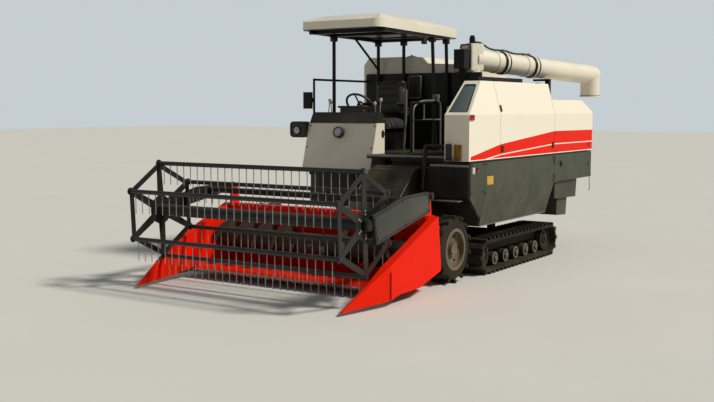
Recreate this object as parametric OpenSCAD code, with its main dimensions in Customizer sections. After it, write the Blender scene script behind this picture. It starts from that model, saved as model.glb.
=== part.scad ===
// Whole-feed rice combine on front tyres and rear rubber tracks.
// +X is forward, +Y is the machine's left, +Z is up, and z = 0 is the ground. Sizes are in millimetres.

/* [Wheels and steering] */
// Radius of a front tyre to its lug tips
tyre_r = 330; // [300:5:345]
// Width of a front tyre
tyre_w = 220; // [180:5:230]
// Height of the tyre lugs
tyre_lug_h = 24; // [12:2:30]
// Lugs round one side of a tyre
tyre_lug_count = 14; // [10:1:18]
// Outer radius of the wheel rim
rim_r = 190; // [180:2:200]
// Front axle's place along the machine
axle_x = 1130; // [1110:5:1150]
// Distance of each tyre's middle from the centre line
tyre_y = 1090; // [1070:5:1110]
// Diameter of the kingpins
kingpin_d = 40; // [30:2:50]
// Diameter of the wheel spindles
spindle_d = 60; // [50:2:70]
// Running clearance round pins and spindles
pin_gap = 0.4; // [0.3:0.1:0.6]

/* [Rubber tracks] */
// Front end of the tracks
track_front_x = 690; // [670:5:700]
// Rear end of the tracks
track_rear_x = -1310; // [-1340:5:-1280]
// Width of a track
track_w = 380; // [340:10:400]
// Distance of each track's middle from the centre line
track_y = 1060; // [1050:5:1070]
// Radius of the end wheels
track_wheel_r = 135; // [125:5:145]
// Thickness of the belt
belt_t = 25; // [20:1:30]
// Height of the track lugs
track_lug_h = 30; // [20:2:34]
// Length between track lugs
track_pitch = 92; // [80:2:110]
// Radius of the road rollers
roller_r = 72; // [60:2:76]
// Road rollers on each side
roller_count = 5; // [4:1:5]

/* [Chassis] */
// Distance of each main rail from the centre line
rail_y = 600; // [580:5:620]
// Height of the main rails
rail_h = 100; // [80:5:110]
// Width of the main rails
rail_w = 80; // [60:5:90]
// Underside of the main rails
rail_z = 450; // [445:5:460]

/* [Thresher housing] */
// Front face of the thresher covers
body_front_x = 970; // [950:5:980]
// Rear face of the thresher covers
body_rear_x = -2400; // [-2450:10:-2350]
// Outer side of the thresher covers
body_side_y = 1250; // [1230:5:1260]
// Thickness of the covers
cover_t = 30; // [20:2:36]
// Gap between neighbouring covers
cover_gap = 6; // [5:1:10]
// Height of the waist between upper and lower covers
waist_z = 1170; // [1160:5:1180]
// Crease above which the upper covers lean in
crease_z = 1620; // [1600:5:1640]
// Top of the upper covers
roof_z = 1960; // [1940:5:1970]
// Lean of the upper covers between crease and roof
lean_y = 90; // [70:5:110]
// Joint between front and middle upper covers
split_front_x = 260; // [230:5:290]
// Joint between middle and rear covers
split_rear_x = -1180; // [-1200:5:-1160]
// Inner side of the drive tower beside the deck
tower_y = 980; // [960:5:1000]

/* [Grain tank] */
// Height of the grain tank's crown
tank_top_z = 2300; // [2250:10:2340]
// Front wall of the grain tank
tank_front_x = -880; // [-890:5:-870]
// Rear wall of the grain tank
tank_rear_x = -2330; // [-2350:10:-2250]

/* [Operator station] */
// Height of the deck's surface
deck_z = 1190; // [1180:5:1200]
// Height of the console's top
console_top_z = 1520; // [1500:10:1540]
// Lower edge of the canopy
canopy_z = 2515; // [2480:5:2540]
// Height of the canopy from its edge to its crown
canopy_h = 205; // [185:5:220]
// Rise of the canopy towards its front, in degrees
canopy_tilt = 0.9; // [0.5:0.1:1.2]
// Front edge of the deck beside the console
deck_front_x = 600; // [560:10:620]
// Height of the seat cushion's top
seat_z = 1570; // [1550:10:1600]

/* [Header] */
// Place of the feeder pivot along the machine
feeder_pivot_x = 890; // [880:5:900]
// Height of the feeder pivot
feeder_pivot_z = 950; // [945:5:955]
// Outer side of the crop dividers
header_y = 1280; // [1260:5:1290]
// Tip of the crop dividers
divider_tip_x = 3030; // [2980:10:3060]
// Back wall of the header
header_back_x = 1560; // [1555:5:1575]
// Thickness of the header's sheets
sheet_t = 12; // [8:1:16]
// Radius of the header auger's drum
drum_r = 100; // [80:5:115]
// Radius of the header auger's shaft
auger_shaft_r = 30; // [20:2:40]
// Radius of the header auger's flights
flight_r = 165; // [150:5:180]
// Place of the header auger along the machine
header_auger_x = 1780; // [1770:5:1790]
// Height of the header auger
header_auger_z = 370; // [360:5:380]
// Length between guards on the cutterbar
guard_pitch = 76; // [70:2:90]

/* [Reel] */
// Place of the reel's axis along the machine
reel_x = 2690; // [2660:5:2710]
// Height of the reel's axis
reel_z = 720; // [715:5:735]
// Radius of the reel to its tine bars
reel_r = 445; // [430:5:450]
// Distance of each spider from the centre line
spider_y = 1165; // [1150:5:1170]
// Diameter of the reel's middle tube
reel_tube_d = 110; // [95:5:130]
// Diameter of a tine bar
tine_bar_d = 40; // [34:2:44]
// Length of a tine
tine_l = 200; // [160:10:205]
// Length between tines
tine_pitch = 84; // [76:2:110]

/* [Unloading auger] */
// Radius of the unloading tube
unload_r = 124; // [115:1:128]
// Height of the tube's axis at the gearbox
unload_front_z = 2255; // [2250:5:2270]
// Height of the tube's axis at the spout
unload_rear_z = 2116; // [2106:2:2126]

/* [Hidden] */
$fn = 48;

cream = [0.90, 0.86, 0.76];
olive = [0.30, 0.31, 0.28];
red = [0.85, 0.16, 0.06];
black = [0.10, 0.10, 0.11];
rubber = [0.22, 0.20, 0.18];
steel = [0.55, 0.55, 0.54];

seat_gap = 0.3;

// Places of the wheels and their steering
axle_z = tyre_r;
kingpin_y = tyre_y - 90;
eye_r = kingpin_d / 2 + 20;
eye_h = 120;
steer_arm_l = 160;
beam_h = 100;
rim_inner_r = rim_r - 18;

// Belt outline of the tracks
belt_inner_z = track_lug_h + belt_t;
track_axis_z = belt_inner_z + track_wheel_r;
track_outer_r = track_wheel_r + belt_t;
track_front_axis = track_front_x - track_outer_r - track_lug_h;
track_rear_axis = track_rear_x + track_outer_r + track_lug_h;
track_run = track_front_axis - track_rear_axis;
roller_z = belt_inner_z + roller_r;
track_beam_w = 100;
track_beam_h = 80;
track_beam_z = roller_z + roller_r + 8;
cross_tube_r = 45;
cross_tube_x = [200, -900];
cross_tube_z = track_beam_z + track_beam_h / 2;

// Covers of the thresher
window_top_x = body_front_x - 420;
low_crease_z = 820;
low_z = 500;
low_tuck_y = 60;
rear_roof_z = 1780;
inner_y = 150;
strip_x = 620;
low_front_x = body_front_x - 40;
low_top_z = waist_z - 20;
rear_low_z = 840;

function upper_side() = [
    [body_front_x, waist_z], [body_front_x, crease_z], [window_top_x, roof_z], [split_rear_x, roof_z],
    [split_rear_x, rear_roof_z], [-2130, rear_roof_z], [body_rear_x, 1640], [body_rear_x, waist_z]
];
function upper_section() = [
    [inner_y, waist_z], [body_side_y, waist_z], [body_side_y, crease_z], [body_side_y - lean_y, roof_z],
    [inner_y, roof_z]
];
function lower_side() = [
    [low_front_x, low_top_z], [low_front_x, 806], [strip_x, 588], [strip_x, low_z], [split_rear_x + 100, low_z],
    [split_rear_x, rear_low_z], [body_rear_x + 20, rear_low_z], [body_rear_x + 20, low_top_z]
];
function lower_section() = [
    [inner_y, rail_z + rail_h], [rail_y + rail_w / 2 + 6, rail_z + rail_h], [rail_y + rail_w / 2 + 6, low_z],
    [body_side_y - low_tuck_y, low_z], [body_side_y, low_crease_z],
    [body_side_y, low_top_z], [inner_y, low_top_z]
];

// Header places
reel_pivot_x = 1620;
reel_pivot_z = 880;
reel_turn = 27;
feeder_y0 = 150;
feeder_y1 = 670;
feeder_end_r = 150;
beam_top_z = 700;
floor_z = 70;
knife_x = 2200;
divider_in_y = header_y - 80;
tip_y = header_y - 135;

// Lift cylinder between chassis and feeder house
lift_y = feeder_y1 + 52;
lift_base = [640, lift_y, 430];
lift_eye = [1400, lift_y, 430];
lift_pin_d = 24;
lift_eye_d = 40;
lift_len = norm(lift_eye - lift_base);
lift_angle = atan2(lift_eye[2] - lift_base[2], lift_eye[0] - lift_base[0]);

// Unloading auger places
unload_pivot = [-1010, 275];
unload_end = [-3030, 978];
unload_base_z = 2095;
spout_z = 1830;

// Flat outline in X and Z, given a thickness between y0 and y1
module side_solid(points, y0, y1) {
    translate([0, y1, 0]) rotate([90, 0, 0]) linear_extrude(y1 - y0) polygon(points);
}

// Flat outline in Y and Z, given a length between x0 and x1
module section_solid(points, x0, x1) {
    translate([x0, 0, 0]) rotate([90, 0, 90]) linear_extrude(x1 - x0) polygon(points);
}

// Box between two corners
module block(low, high) {
    translate(low) cube(high - low);
}

// Round bar across the machine
module rod_y(x, z, r, y0, y1) {
    translate([x, y1, z]) rotate([90, 0, 0]) cylinder(r = r, h = y1 - y0);
}

// Round bar between two points
module bar(a, b, r) {
    v = b - a;
    translate(a) rotate([0, acos(v[2] / norm(v)), atan2(v[1], v[0])]) cylinder(r = r, h = norm(v));
}

// Bent tube through a short list of points
module pipe(points, r) {
    for (i = [0 : len(points) - 2]) bar(points[i], points[i + 1], r);
    for (i = [1 : len(points) - 2]) translate(points[i]) sphere(r = r + 1);
}

// Rounded rectangle between two corners
module round_rect(low, high, r) {
    translate([low[0] + r, low[1]]) square([high[0] - low[0] - 2 * r, high[1] - low[1]]);
    translate([low[0], low[1] + r]) square([high[0] - low[0], high[1] - low[1] - 2 * r]);
    for (x = [low[0] + r, high[0] - r], y = [low[1] + r, high[1] - r]) translate([x, y]) circle(r = r);
}

// Repeats what follows on the left and right sides
module both_sides() {
    children();
    mirror([0, 1, 0]) children();
}

// Main rails, cross members, hitch, axle hangers and the feeder's trunnion plates
module chassis_frame() {
    rail_top = rail_z + rail_h;
    rail_end_x = axle_x - 120;
    hitch_x = body_rear_x + 60;
    trunnion_r = 25 - pin_gap;
    color(black) difference() {
        union() {
            for (s = [-1, 1]) block(
                [body_rear_x + 150, s * rail_y - rail_w / 2, rail_z],
                [rail_end_x, s * rail_y + rail_w / 2, rail_top]
            );
            for (x = [760, 300, -400, -1100, -1700, body_rear_x + 190])
                block([x - 40, -rail_y, rail_z + 10], [x + 40, rail_y, rail_top - 10]);
            for (x = cross_tube_x) {
                rod_y(x, cross_tube_z, cross_tube_r, -track_y + track_beam_w / 2, track_y - track_beam_w / 2);
                for (s = [-1, 1]) block(
                    [x - 50, s * rail_y - 30, cross_tube_z], [x + 50, s * rail_y + 30, rail_z + 5]
                );
            }
            for (s = [-1, 1]) block(
                [rail_end_x - 60, s * rail_y - rail_w / 2, axle_z + beam_h / 2],
                [axle_x + 60, s * rail_y + rail_w / 2, rail_z + 4]
            );
            block([hitch_x - 60, -70, rail_z + 20], [body_rear_x + 190, 70, rail_top - 30]);
            for (y = [feeder_y0 - 13, feeder_y1 + 3]) side_solid([
                [725, rail_z + 20], [800, rail_z + 20], [feeder_pivot_x + 60, feeder_pivot_z - 50],
                [feeder_pivot_x + 60, feeder_pivot_z + 50], [feeder_pivot_x - 60, feeder_pivot_z + 50],
                [725, feeder_pivot_z - 200]
            ], y, y + 10);
            rod_y(feeder_pivot_x, feeder_pivot_z, trunnion_r, feeder_y0 - 10, feeder_y0 + 55);
            rod_y(feeder_pivot_x, feeder_pivot_z, trunnion_r, feeder_y1 - 55, feeder_y1 + 10);
            block([lift_base[0] - 40, rail_y, lift_base[2] - 36], [lift_base[0] + 40, lift_y - 38, low_z - 2]);
            rod_y(lift_base[0], lift_base[2], lift_pin_d / 2, rail_y, lift_y + 36);
            rod_y(lift_base[0], lift_base[2], lift_pin_d, lift_y + 27, lift_y + 36);
        }
        translate([hitch_x - 20, 0, rail_z]) cylinder(d = 26, h = rail_h);
        for (s = [-1, 1])
            rod_y(body_rear_x + 270, rail_z + rail_h / 2, 13, s * rail_y - 50, s * rail_y + 50);
    }
}

// Box beam with an eye for the kingpin at each end
module front_axle() {
    color(black) both_sides() difference() {
        union() {
            block([axle_x - 50, -1, axle_z - beam_h / 2], [axle_x + 50, kingpin_y - eye_r + 8, axle_z + beam_h / 2]);
            translate([axle_x, kingpin_y, axle_z - eye_h / 2]) cylinder(r = eye_r, h = eye_h);
        }
        translate([axle_x, kingpin_y, axle_z - eye_h]) cylinder(d = kingpin_d + 2 * pin_gap, h = 2 * eye_h);
    }
}

// Kingpin, forked plates, spindle and steering arm of the left side
module knuckle() {
    fork_t = 20;
    fork_z = eye_h / 2 + 1;
    spindle_y0 = kingpin_y + eye_r + 6;
    color(steel) {
        translate([axle_x, kingpin_y, axle_z - fork_z - fork_t]) cylinder(d = kingpin_d, h = 2 * (fork_z + fork_t));
        for (s = [-1, 1]) translate([0, 0, axle_z + s * (fork_z + fork_t / 2) - fork_t / 2]) {
            translate([axle_x, kingpin_y, 0]) cylinder(r = eye_r, h = fork_t);
            block([axle_x - eye_r, kingpin_y, 0], [axle_x + eye_r, spindle_y0 + 16, fork_t]);
        }
        block([axle_x - eye_r, spindle_y0, axle_z - fork_z - fork_t], [axle_x + eye_r, spindle_y0 + 16,
            axle_z + fork_z + fork_t]);
        rod_y(axle_x, axle_z, spindle_d / 2, spindle_y0 + 10, tyre_y + 80);
        rod_y(axle_x, axle_z, spindle_d / 2 + 16, spindle_y0 + 10, spindle_y0 + 22);
        block([axle_x - steer_arm_l, kingpin_y - 100, axle_z - fork_z - fork_t],
            [axle_x - 10, kingpin_y - 64, axle_z - fork_z]);
        block([axle_x - 40, kingpin_y - 100, axle_z - fork_z - fork_t],
            [axle_x + 20, kingpin_y, axle_z - fork_z]);
        translate([axle_x - steer_arm_l, kingpin_y - 82, axle_z - fork_z - fork_t])
            cylinder(r = 26, h = fork_t + 10);
    }
}

// Rod that joins the two steering arms from above
module tie_rod() {
    rod_z = axle_z - eye_h / 2 - 1 + 10 + 0.5;
    end_y = kingpin_y - 82;
    color(steel) {
        rod_y(axle_x - steer_arm_l, rod_z + 16, 14, -end_y, end_y);
        for (s = [-1, 1]) translate([axle_x - steer_arm_l, s * end_y, rod_z]) cylinder(r = 22, h = 34);
    }
}

// Steel rim with dished disc and hub, turned round the spindle
module rim() {
    half = tyre_w / 2;
    hub_r = spindle_d / 2 + 28;
    bore_r = spindle_d / 2 + pin_gap;
    color(steel) translate([axle_x, tyre_y, axle_z]) rotate([-90, 0, 0]) difference() {
        union() {
            rotate_extrude() polygon([
                [rim_inner_r, -half], [rim_r + 14, -half], [rim_r, -half + 12], [rim_r, half - 12],
                [rim_r + 14, half], [rim_inner_r, half]
            ]);
            rotate_extrude() polygon([
                [hub_r - 4, 30], [rim_inner_r + 4, 52], [rim_inner_r + 4, 66], [hub_r - 4, 44]
            ]);
            translate([0, 0, -16]) cylinder(r = hub_r, h = 110);
        }
        translate([0, 0, -17]) cylinder(r = bore_r, h = 99);
        for (a = [0 : 60 : 300]) rotate(a) translate([rim_inner_r - 38, 0, 20]) cylinder(r = 17, h = 70);
    }
}

// Tyre carcass with two rows of slanted lugs
module tyre() {
    half = tyre_w / 2;
    tread_r = tyre_r - tyre_lug_h;
    lug_l = tyre_w * 0.62;
    color(rubber) translate([axle_x, tyre_y, axle_z]) rotate([-90, 0, 0]) {
        rotate_extrude() polygon([
            [rim_r + seat_gap, -half + 13], [rim_r + 16, -half + 2], [rim_r + 45, -half], [tread_r - 22, -half + 8],
            [tread_r, -half + 34], [tread_r, half - 34], [tread_r - 22, half - 8], [rim_r + 45, half],
            [rim_r + 16, half - 2], [rim_r + seat_gap, half - 13]
        ]);
        intersection() {
            cylinder(r = tyre_r, h = tyre_w, center = true);
            for (s = [-1, 1], i = [0 : tyre_lug_count - 1])
                rotate((i + (s > 0 ? 0.5 : 0)) * 360 / tyre_lug_count)
                    translate([tread_r - 8, 0, s * (half + 8)])
                    rotate([s * 32, 0, 0]) translate([0, -15, s > 0 ? -lug_l : 0])
                    cube([tyre_lug_h + 12, 30, lug_l]);
        }
    }
}

// Outline of the belt round both end wheels
module belt_loop(r) {
    translate([track_rear_axis, track_axis_z - r]) square([track_run, 2 * r]);
    for (x = [track_rear_axis, track_front_axis]) translate([x, track_axis_z]) circle(r = r);
}

// One endless belt with its lugs in the outline
module track() {
    lug_w = 40;
    run_lugs = floor(track_run / track_pitch);
    turn_lugs = round(180 / (track_pitch / track_outer_r * 180 / PI));
    color(rubber) translate([0, track_y + track_w / 2, 0]) rotate([90, 0, 0]) linear_extrude(track_w) difference() {
        union() {
            belt_loop(track_outer_r);
            for (i = [0 : run_lugs - 1], s = [-1, 1])
                translate([track_rear_axis + (i + 0.5) * track_run / run_lugs, track_axis_z
                    + s * (track_outer_r + track_lug_h / 2 - 2)])
                square([lug_w, track_lug_h + 4], center = true);
            for (i = [0 : turn_lugs - 1], s = [-1, 1])
                translate([s > 0 ? track_front_axis : track_rear_axis, track_axis_z])
                rotate((s > 0 ? 0 : 180) + (i - (turn_lugs - 1) / 2) * 180 / turn_lugs)
                translate([track_outer_r - 4, -lug_w / 2]) square([track_lug_h + 4, lug_w]);
        }
        belt_loop(track_wheel_r);
    }
}

// Beam, end wheels and road rollers inside the left belt
module track_frame() {
    wheel_w = 60;
    disc_y = 90;
    color(black) difference() {
        union() {
            block([track_rear_axis - 30, track_y - track_beam_w / 2, track_beam_z],
                [track_front_axis + 30, track_y + track_beam_w / 2, track_beam_z + track_beam_h]);
            for (x = [track_rear_axis, track_front_axis]) {
                block([x - 40, track_y - 30, track_axis_z - 40], [x + 40, track_y + 30, track_beam_z + 5]);
                rod_y(x, track_axis_z, 30, track_y - disc_y - 40, track_y + disc_y + 40);
                for (s = [-1, 1]) translate([x, track_y + s * disc_y, track_axis_z]) rotate([90, 0, 0])
                    rotate_extrude() polygon([
                        [20, -28], [60, -28], [62, -10], [100, -10], [102, -28],
                        [track_wheel_r - seat_gap, -28], [track_wheel_r - seat_gap, 28], [102, 28],
                        [100, 10], [62, 10], [60, 28], [20, 28]
                    ]);
            }
            for (i = [0 : roller_count - 1]) {
                x = track_rear_axis + 290 + i * (track_run - 580) / (roller_count - 1);
                block([x - 28, track_y - 26, roller_z - 28], [x + 28, track_y + 26, track_beam_z + 5]);
                rod_y(x, roller_z, 22, track_y - disc_y - 36, track_y + disc_y + 36);
                for (s = [-1, 1])
                    rod_y(x, roller_z, roller_r - seat_gap, track_y + s * disc_y - wheel_w / 2,
                        track_y + s * disc_y + wheel_w / 2);
            }
        }
    }
}

// Outer envelope of the upper covers, with the slim drive tower beside the deck
module upper_shape() {
    difference() {
        intersection() {
            side_solid(upper_side(), inner_y, body_side_y + 50);
            section_solid(upper_section(), body_rear_x - 50, body_front_x + 50);
        }
        block([tank_front_x, inner_y - 50, waist_z - 10], [body_front_x + 50, tower_y, roof_z + 50]);
    }
}

// Outer envelope of the lower covers
module lower_shape() {
    intersection() {
        side_solid(lower_side(), inner_y, body_side_y + 50);
        section_solid(lower_section(), body_rear_x - 50, body_front_x + 50);
    }
}

// Side panel of the upper covers between two stations, as thick as the wall
module upper_panel(x0, x1, wall) {
    intersection() {
        upper_shape();
        difference() {
            block([x0, inner_y - 60, waist_z - 10], [x1, body_side_y + 60, roof_z + 10]);
            translate([0, -wall, 0]) section_solid([
                [inner_y - 100, waist_z - 60], [body_side_y, waist_z - 60], [body_side_y, crease_z],
                [body_side_y - lean_y, roof_z],
                [body_side_y - lean_y - (roof_z - crease_z) / 4, roof_z + 60], [inner_y - 100, roof_z + 60]
            ], x0 - 1, x1 + 1);
        }
    }
}

// Part of the lower side cover between two stations
module lower_panel(x0, x1, wall) {
    intersection() {
        lower_shape();
        difference() {
            block([x0, inner_y - 60, low_z - 10], [x1, body_side_y + 60, low_top_z + 10]);
            translate([0, -wall, 0]) section_solid([
                [inner_y - 100, low_z - 20], [body_side_y - low_tuck_y * 1.0625, low_z - 20],
                [body_side_y, low_crease_z], [body_side_y, waist_z + 60], [inner_y - 100, waist_z + 60]
            ], x0 - 1, x1 + 1);
        }
    }
}

// Closed core of the thresher behind its covers, notched for the feeder house
module thresher_body() {
    wall = cover_t + seat_gap;
    color(black) difference() {
        union() {
            difference() {
                upper_shape();
                upper_panel(body_rear_x - 10, body_front_x + 10, wall);
                front_sheet(wall);
                rear_sheet(wall);
            }
            difference() {
                lower_shape();
                lower_panel(body_rear_x - 10, body_front_x + 10, wall);
            }
            block([body_rear_x + 60, tower_y + 20, low_top_z - 30],
                [low_front_x - 40, body_side_y - wall - 10, waist_z + 40]);
        }
        side_solid([
            [feeder_pivot_x - feeder_end_r - 20, low_z - 10], [2000, low_z - 10], [2000, waist_z - 50],
            [feeder_pivot_x - feeder_end_r - 20, waist_z - 50]
        ], inner_y - 100, feeder_y1 + 20);
        block([deck_front_x - 20, inner_y - 10, low_top_z - 60], [body_front_x + 50, tower_y - 60, waist_z + 10]);
    }
}

// Upright and leaning front sheet of the tower
module front_sheet(wall) {
    difference() {
        upper_shape();
        translate([-wall, 0, 0]) side_solid([
            [body_front_x, waist_z - 50], [body_front_x, crease_z], [window_top_x, roof_z],
            [window_top_x - 60, roof_z + 50], [body_rear_x - 100, roof_z + 50], [body_rear_x - 100, waist_z - 50]
        ], inner_y - 100, body_side_y + 60);
    }
}

// Upright and chamfered rear sheet of the upper covers
module rear_sheet(wall) {
    difference() {
        upper_shape();
        translate([wall, 0, 0]) side_solid([
            [body_rear_x, waist_z - 50], [body_rear_x, 1640], [-2130, rear_roof_z],
            [-2050, rear_roof_z + 41], [-2050, roof_z + 100], [body_front_x + 100, roof_z + 100],
            [body_front_x + 100, waist_z - 50]
        ], inner_y - 100, body_side_y + 60);
    }
}

module upper_cover_front() {
    lean = atan2(body_front_x - window_top_x, roof_z - crease_z);
    color(cream) difference() {
        union() {
            upper_panel(split_front_x + cover_gap / 2, body_front_x + 1, cover_t);
            front_sheet(cover_t);
        }
        translate([body_front_x, 0, crease_z]) rotate([0, -lean, 0])
            translate([-14, 0, 0]) rotate([90, 0, 90]) linear_extrude(60) polygon([
                [tower_y + 30, 40], [body_side_y - 50, 40], [body_side_y - 38, 54], [body_side_y - lean_y - 22, 470],
                [body_side_y - lean_y - 36, 490], [tower_y + 30, 490], [tower_y + 20, 476], [tower_y + 20, 54]
            ]);
    }
}

module side_door() {
    color(cream) upper_panel(split_rear_x + cover_gap / 2, split_front_x - cover_gap / 2, cover_t);
}

module upper_cover_rear() {
    color(cream) {
        upper_panel(body_rear_x - 1, split_rear_x - cover_gap / 2, cover_t);
        rear_sheet(cover_t);
    }
}

module lower_cover_front() {
    color(olive) lower_panel(strip_x + cover_gap / 2, body_front_x, cover_t);
}

module lower_cover_main() {
    color(olive) lower_panel(split_rear_x + cover_gap / 2, strip_x - cover_gap / 2, cover_t);
}

module rear_door() {
    color(olive) lower_panel(body_rear_x - 1, split_rear_x - cover_gap / 2, cover_t);
}

// Chute boxes under the rear of the thresher
module straw_outlet() {
    color(black) {
        top = rear_low_z - seat_gap;
        x = split_rear_x - 120;
        side_solid([[x, top], [x + 10, top - 200], [x - 660, top - 223], [x - 690, top]], 760, body_side_y - 35);
        side_solid([
            [x - 160, top - 140], [x - 150, top - 410], [x - 440, top - 428], [x - 464, top - 240], [x - 464, top - 140]
        ], 800, body_side_y - 70);
    }
}

// Tank with a raised crown on its right part
module grain_tank() {
    color(cream) {
        section_solid([
            [-1150, low_top_z], [-1150, tank_top_z - 90], [-1080, tank_top_z], [-420, tank_top_z],
            [-330, tank_top_z - 80], [100, tank_top_z - 100], [100, low_top_z]
        ], tank_rear_x, tank_front_x);
    }
}

// Right-hand lower housing with an open engine bay behind a grille
module right_cover() {
    bay_x0 = -760;
    bay_x1 = 120;
    slat = 22;
    color(olive) {
        difference() {
            block([tank_rear_x, -1230, 560], [150, 140, low_top_z]);
            block([bay_x0, -1300, 620], [bay_x1, 100, low_top_z - 40]);
            block([bay_x0, -1200, 500], [bay_x1, -700, 700]);
        }
        for (z = [650 : 2 * slat : low_top_z - 60]) block([bay_x0 - 5, -1226, z], [bay_x1 + 5, -1212, z + slat]);
    }
}

module engine() {
    color(steel) block([-620, -960, 620], [80, -340, 1060]);
}

// Deck plate, its front wall and legs down to the rails
module deck() {
    color(black) {
        block([tank_front_x, -1100, low_top_z], [230, inner_y - 10, deck_z]);
        block([tank_front_x, inner_y - 20, waist_z], [deck_front_x, tower_y - 1, deck_z]);
        block([deck_front_x - 18, inner_y - 10, low_top_z - 20], [deck_front_x, tower_y - 70, deck_z]);
        block([225, -160, low_top_z], [deck_front_x, inner_y - 10, deck_z]);
        block([160, -1090, 760], [190, inner_y - 20, low_top_z]);
        for (y = [-rail_y, 100]) block([168, y - 30, rail_z + rail_h], [226, y + 30, 1000]);
        block([190, -1000, 940], [500, -280, 980 - seat_gap]);
    }
}

// Console box whose front leans back
module console() {
    color(cream) side_solid([
        [230, 980], [540, 980], [390, console_top_z], [230, console_top_z]
    ], -1075, -165);
}

// Dash top with the steering column and ring
module dash() {
    color(black) {
        side_solid([[232, console_top_z], [400, console_top_z], [330, 1640], [232, 1620]], -1060, -180);
        bar([250, -560, 1600], [120, -560, 1720], 22);
        translate([120, -560, 1720]) rotate([0, -47, 0]) {
            rotate_extrude() translate([165, 0]) circle(r = 13);
            for (a = [0, 120, 240]) rotate([0, 90, a]) cylinder(r = 9, h = 165);
            cylinder(r = 34, h = 30, center = true);
        }
    }
}

module seat_base() {
    color(black) {
        block([-520, -740, deck_z], [-160, -400, 1440]);
        block([-640, -720, 1400], [-600, -420, 1620]);
        block([-610, -720, 1400], [-500, -420, 1440]);
    }
}

module seat_cushion() {
    color(black) translate([0, 0, 1440 + seat_gap]) linear_extrude(seat_z - 1440)
        round_rect([-580, -810], [-90, -330], 60);
}

module seat_back() {
    color(black) translate([-600 + seat_gap, 0, 0]) rotate([90, 0, 90]) linear_extrude(100)
        round_rect([-790, seat_z + 10], [-350, 2030], 70);
}

// Crown line from a to b, sinking to each side of z by the drop, above the floor z0
function crown(a, b, z0, z, drop) = concat(
    [[a, z0]], [for (t = [0 : 0.05 : 1]) [a + (b - a) * t, z - drop * pow(abs(2 * t - 1), 3)]], [[b, z0]]
);

// Crowned roof shape with rounded corners
module canopy_shape(low, high, r) {
    drop = canopy_h - 85;
    intersection() {
        translate([0, 0, low[2]]) linear_extrude(high[2] - low[2] + 1) round_rect(low, high, r);
        side_solid(crown(low[0], high[0], low[2], high[2], drop), low[1] - 50, high[1] + 50);
        section_solid(crown(low[1], high[1], low[2], high[2], drop), low[0] - 50, high[0] + 50);
    }
}

// Tips what follows up towards the front about the canopy's rear posts
module tipped() {
    translate([tank_front_x, 0, canopy_z]) rotate([0, -canopy_tilt, 0]) translate([-tank_front_x, 0, -canopy_z])
        children();
}

module canopy_roof() {
    color(cream) tipped() difference() {
        canopy_shape([-1130, -990, canopy_z], [690, 50, canopy_z + canopy_h], 110);
        canopy_shape([-1100, -960, canopy_z - 30], [660, 20, canopy_z + canopy_h - 30], 80);
    }
}

// Posts, a rim frame and a strut under the canopy
module canopy_posts() {
    post_r = 20;
    frame_z = canopy_z - 18;
    left_y = 26;
    right_y = -930;
    feet = [[100, right_y], [-480, 85], [-812, 73], [-812, -540], [-812, -900]];
    heads = [[100, right_y], [-480, left_y + 8], [-812, left_y + 8], [-812, -540], [-812, -900]];
    color(black) {
        for (i = [0 : 4]) {
            rise = (heads[i][0] - tank_front_x) * tan(canopy_tilt);
            bar([feet[i][0], feet[i][1], deck_z + 4], [heads[i][0], heads[i][1], frame_z + rise], post_r);
            translate([feet[i][0], feet[i][1], deck_z]) cylinder(r = post_r + 14, h = 10);
        }
        tipped() {
            for (y = [right_y, left_y])
                block([tank_front_x + 12, y - 18, frame_z - 18], [560, y + 18, frame_z + 18 - seat_gap]);
            for (x = [tank_front_x + 50, 100, 480])
                block([x - 18, -985, frame_z - 18], [x + 18, 45, frame_z + 18 - seat_gap]);
        }
        bar([-812, -900, 2150], [-350, right_y, frame_z], 14);
    }
}

// Handrails on both sides of the deck, the mirror, and the guard tube before the thresher
module handrails() {
    guard_x = low_front_x + 24;
    rail_x = 270;
    rail_side_y = -1092;
    color(black) {
        pipe([
            [rail_x, rail_side_y, 1430], [rail_x, rail_side_y, 2010],
            [tank_front_x + 30 + seat_gap, rail_side_y, 2010]
        ], 13);
        block([rail_x - 16, rail_side_y - 10, 1440], [rail_x + 16, -1075 - seat_gap, 1500]);
        block([rail_x - 8, rail_side_y - 10, 1750], [rail_x + 30, rail_side_y + 10, 1800]);
        translate([rail_x + 40, rail_side_y, 1678]) linear_extrude(190) round_rect([-20, -120], [20, 2], 18);
        pipe([[64, 80, deck_z + seat_gap], [64, 80, 1744], [-420, 80, 1744]], 16);
        bar([64, 80, 1549], [-420, 80, 1549], 12);
        bar([-420, 80, deck_z + seat_gap], [-420, 80, 1760], 14);
        pipe([
            [low_front_x + seat_gap, 722, 880], [guard_x, 722, 880], [guard_x, 767, 1310],
            [guard_x, tower_y - seat_gap, 1310]
        ], 22);
    }
}

// Round lamp bodies on the console and side, and the square work lamp
module lamps() {
    color(black) {
        translate([421, -632, 1410]) rotate([0, 74.5, 0]) cylinder(r = 62, h = 40);
        translate([360, -1225, 1440]) rotate([90, 0, 90]) linear_extrude(90)
            round_rect([-80, -88], [150 - seat_gap, 94], 45);
        translate([760, tower_y - 30, 1680]) rotate([0, 90, 0]) cylinder(r = 29, h = 44);
        block([745, tower_y - 34, 1655], [775, tower_y - seat_gap, 1705]);
    }
}

module bulkhead() {
    color(black) {
        block([tank_front_x, -1100, deck_z], [tank_front_x + 30, tower_y - 1, 1930]);
        block([tank_front_x, -1100, 1930], [tank_front_x + 30, 470, 2100]);
    }
}

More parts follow.
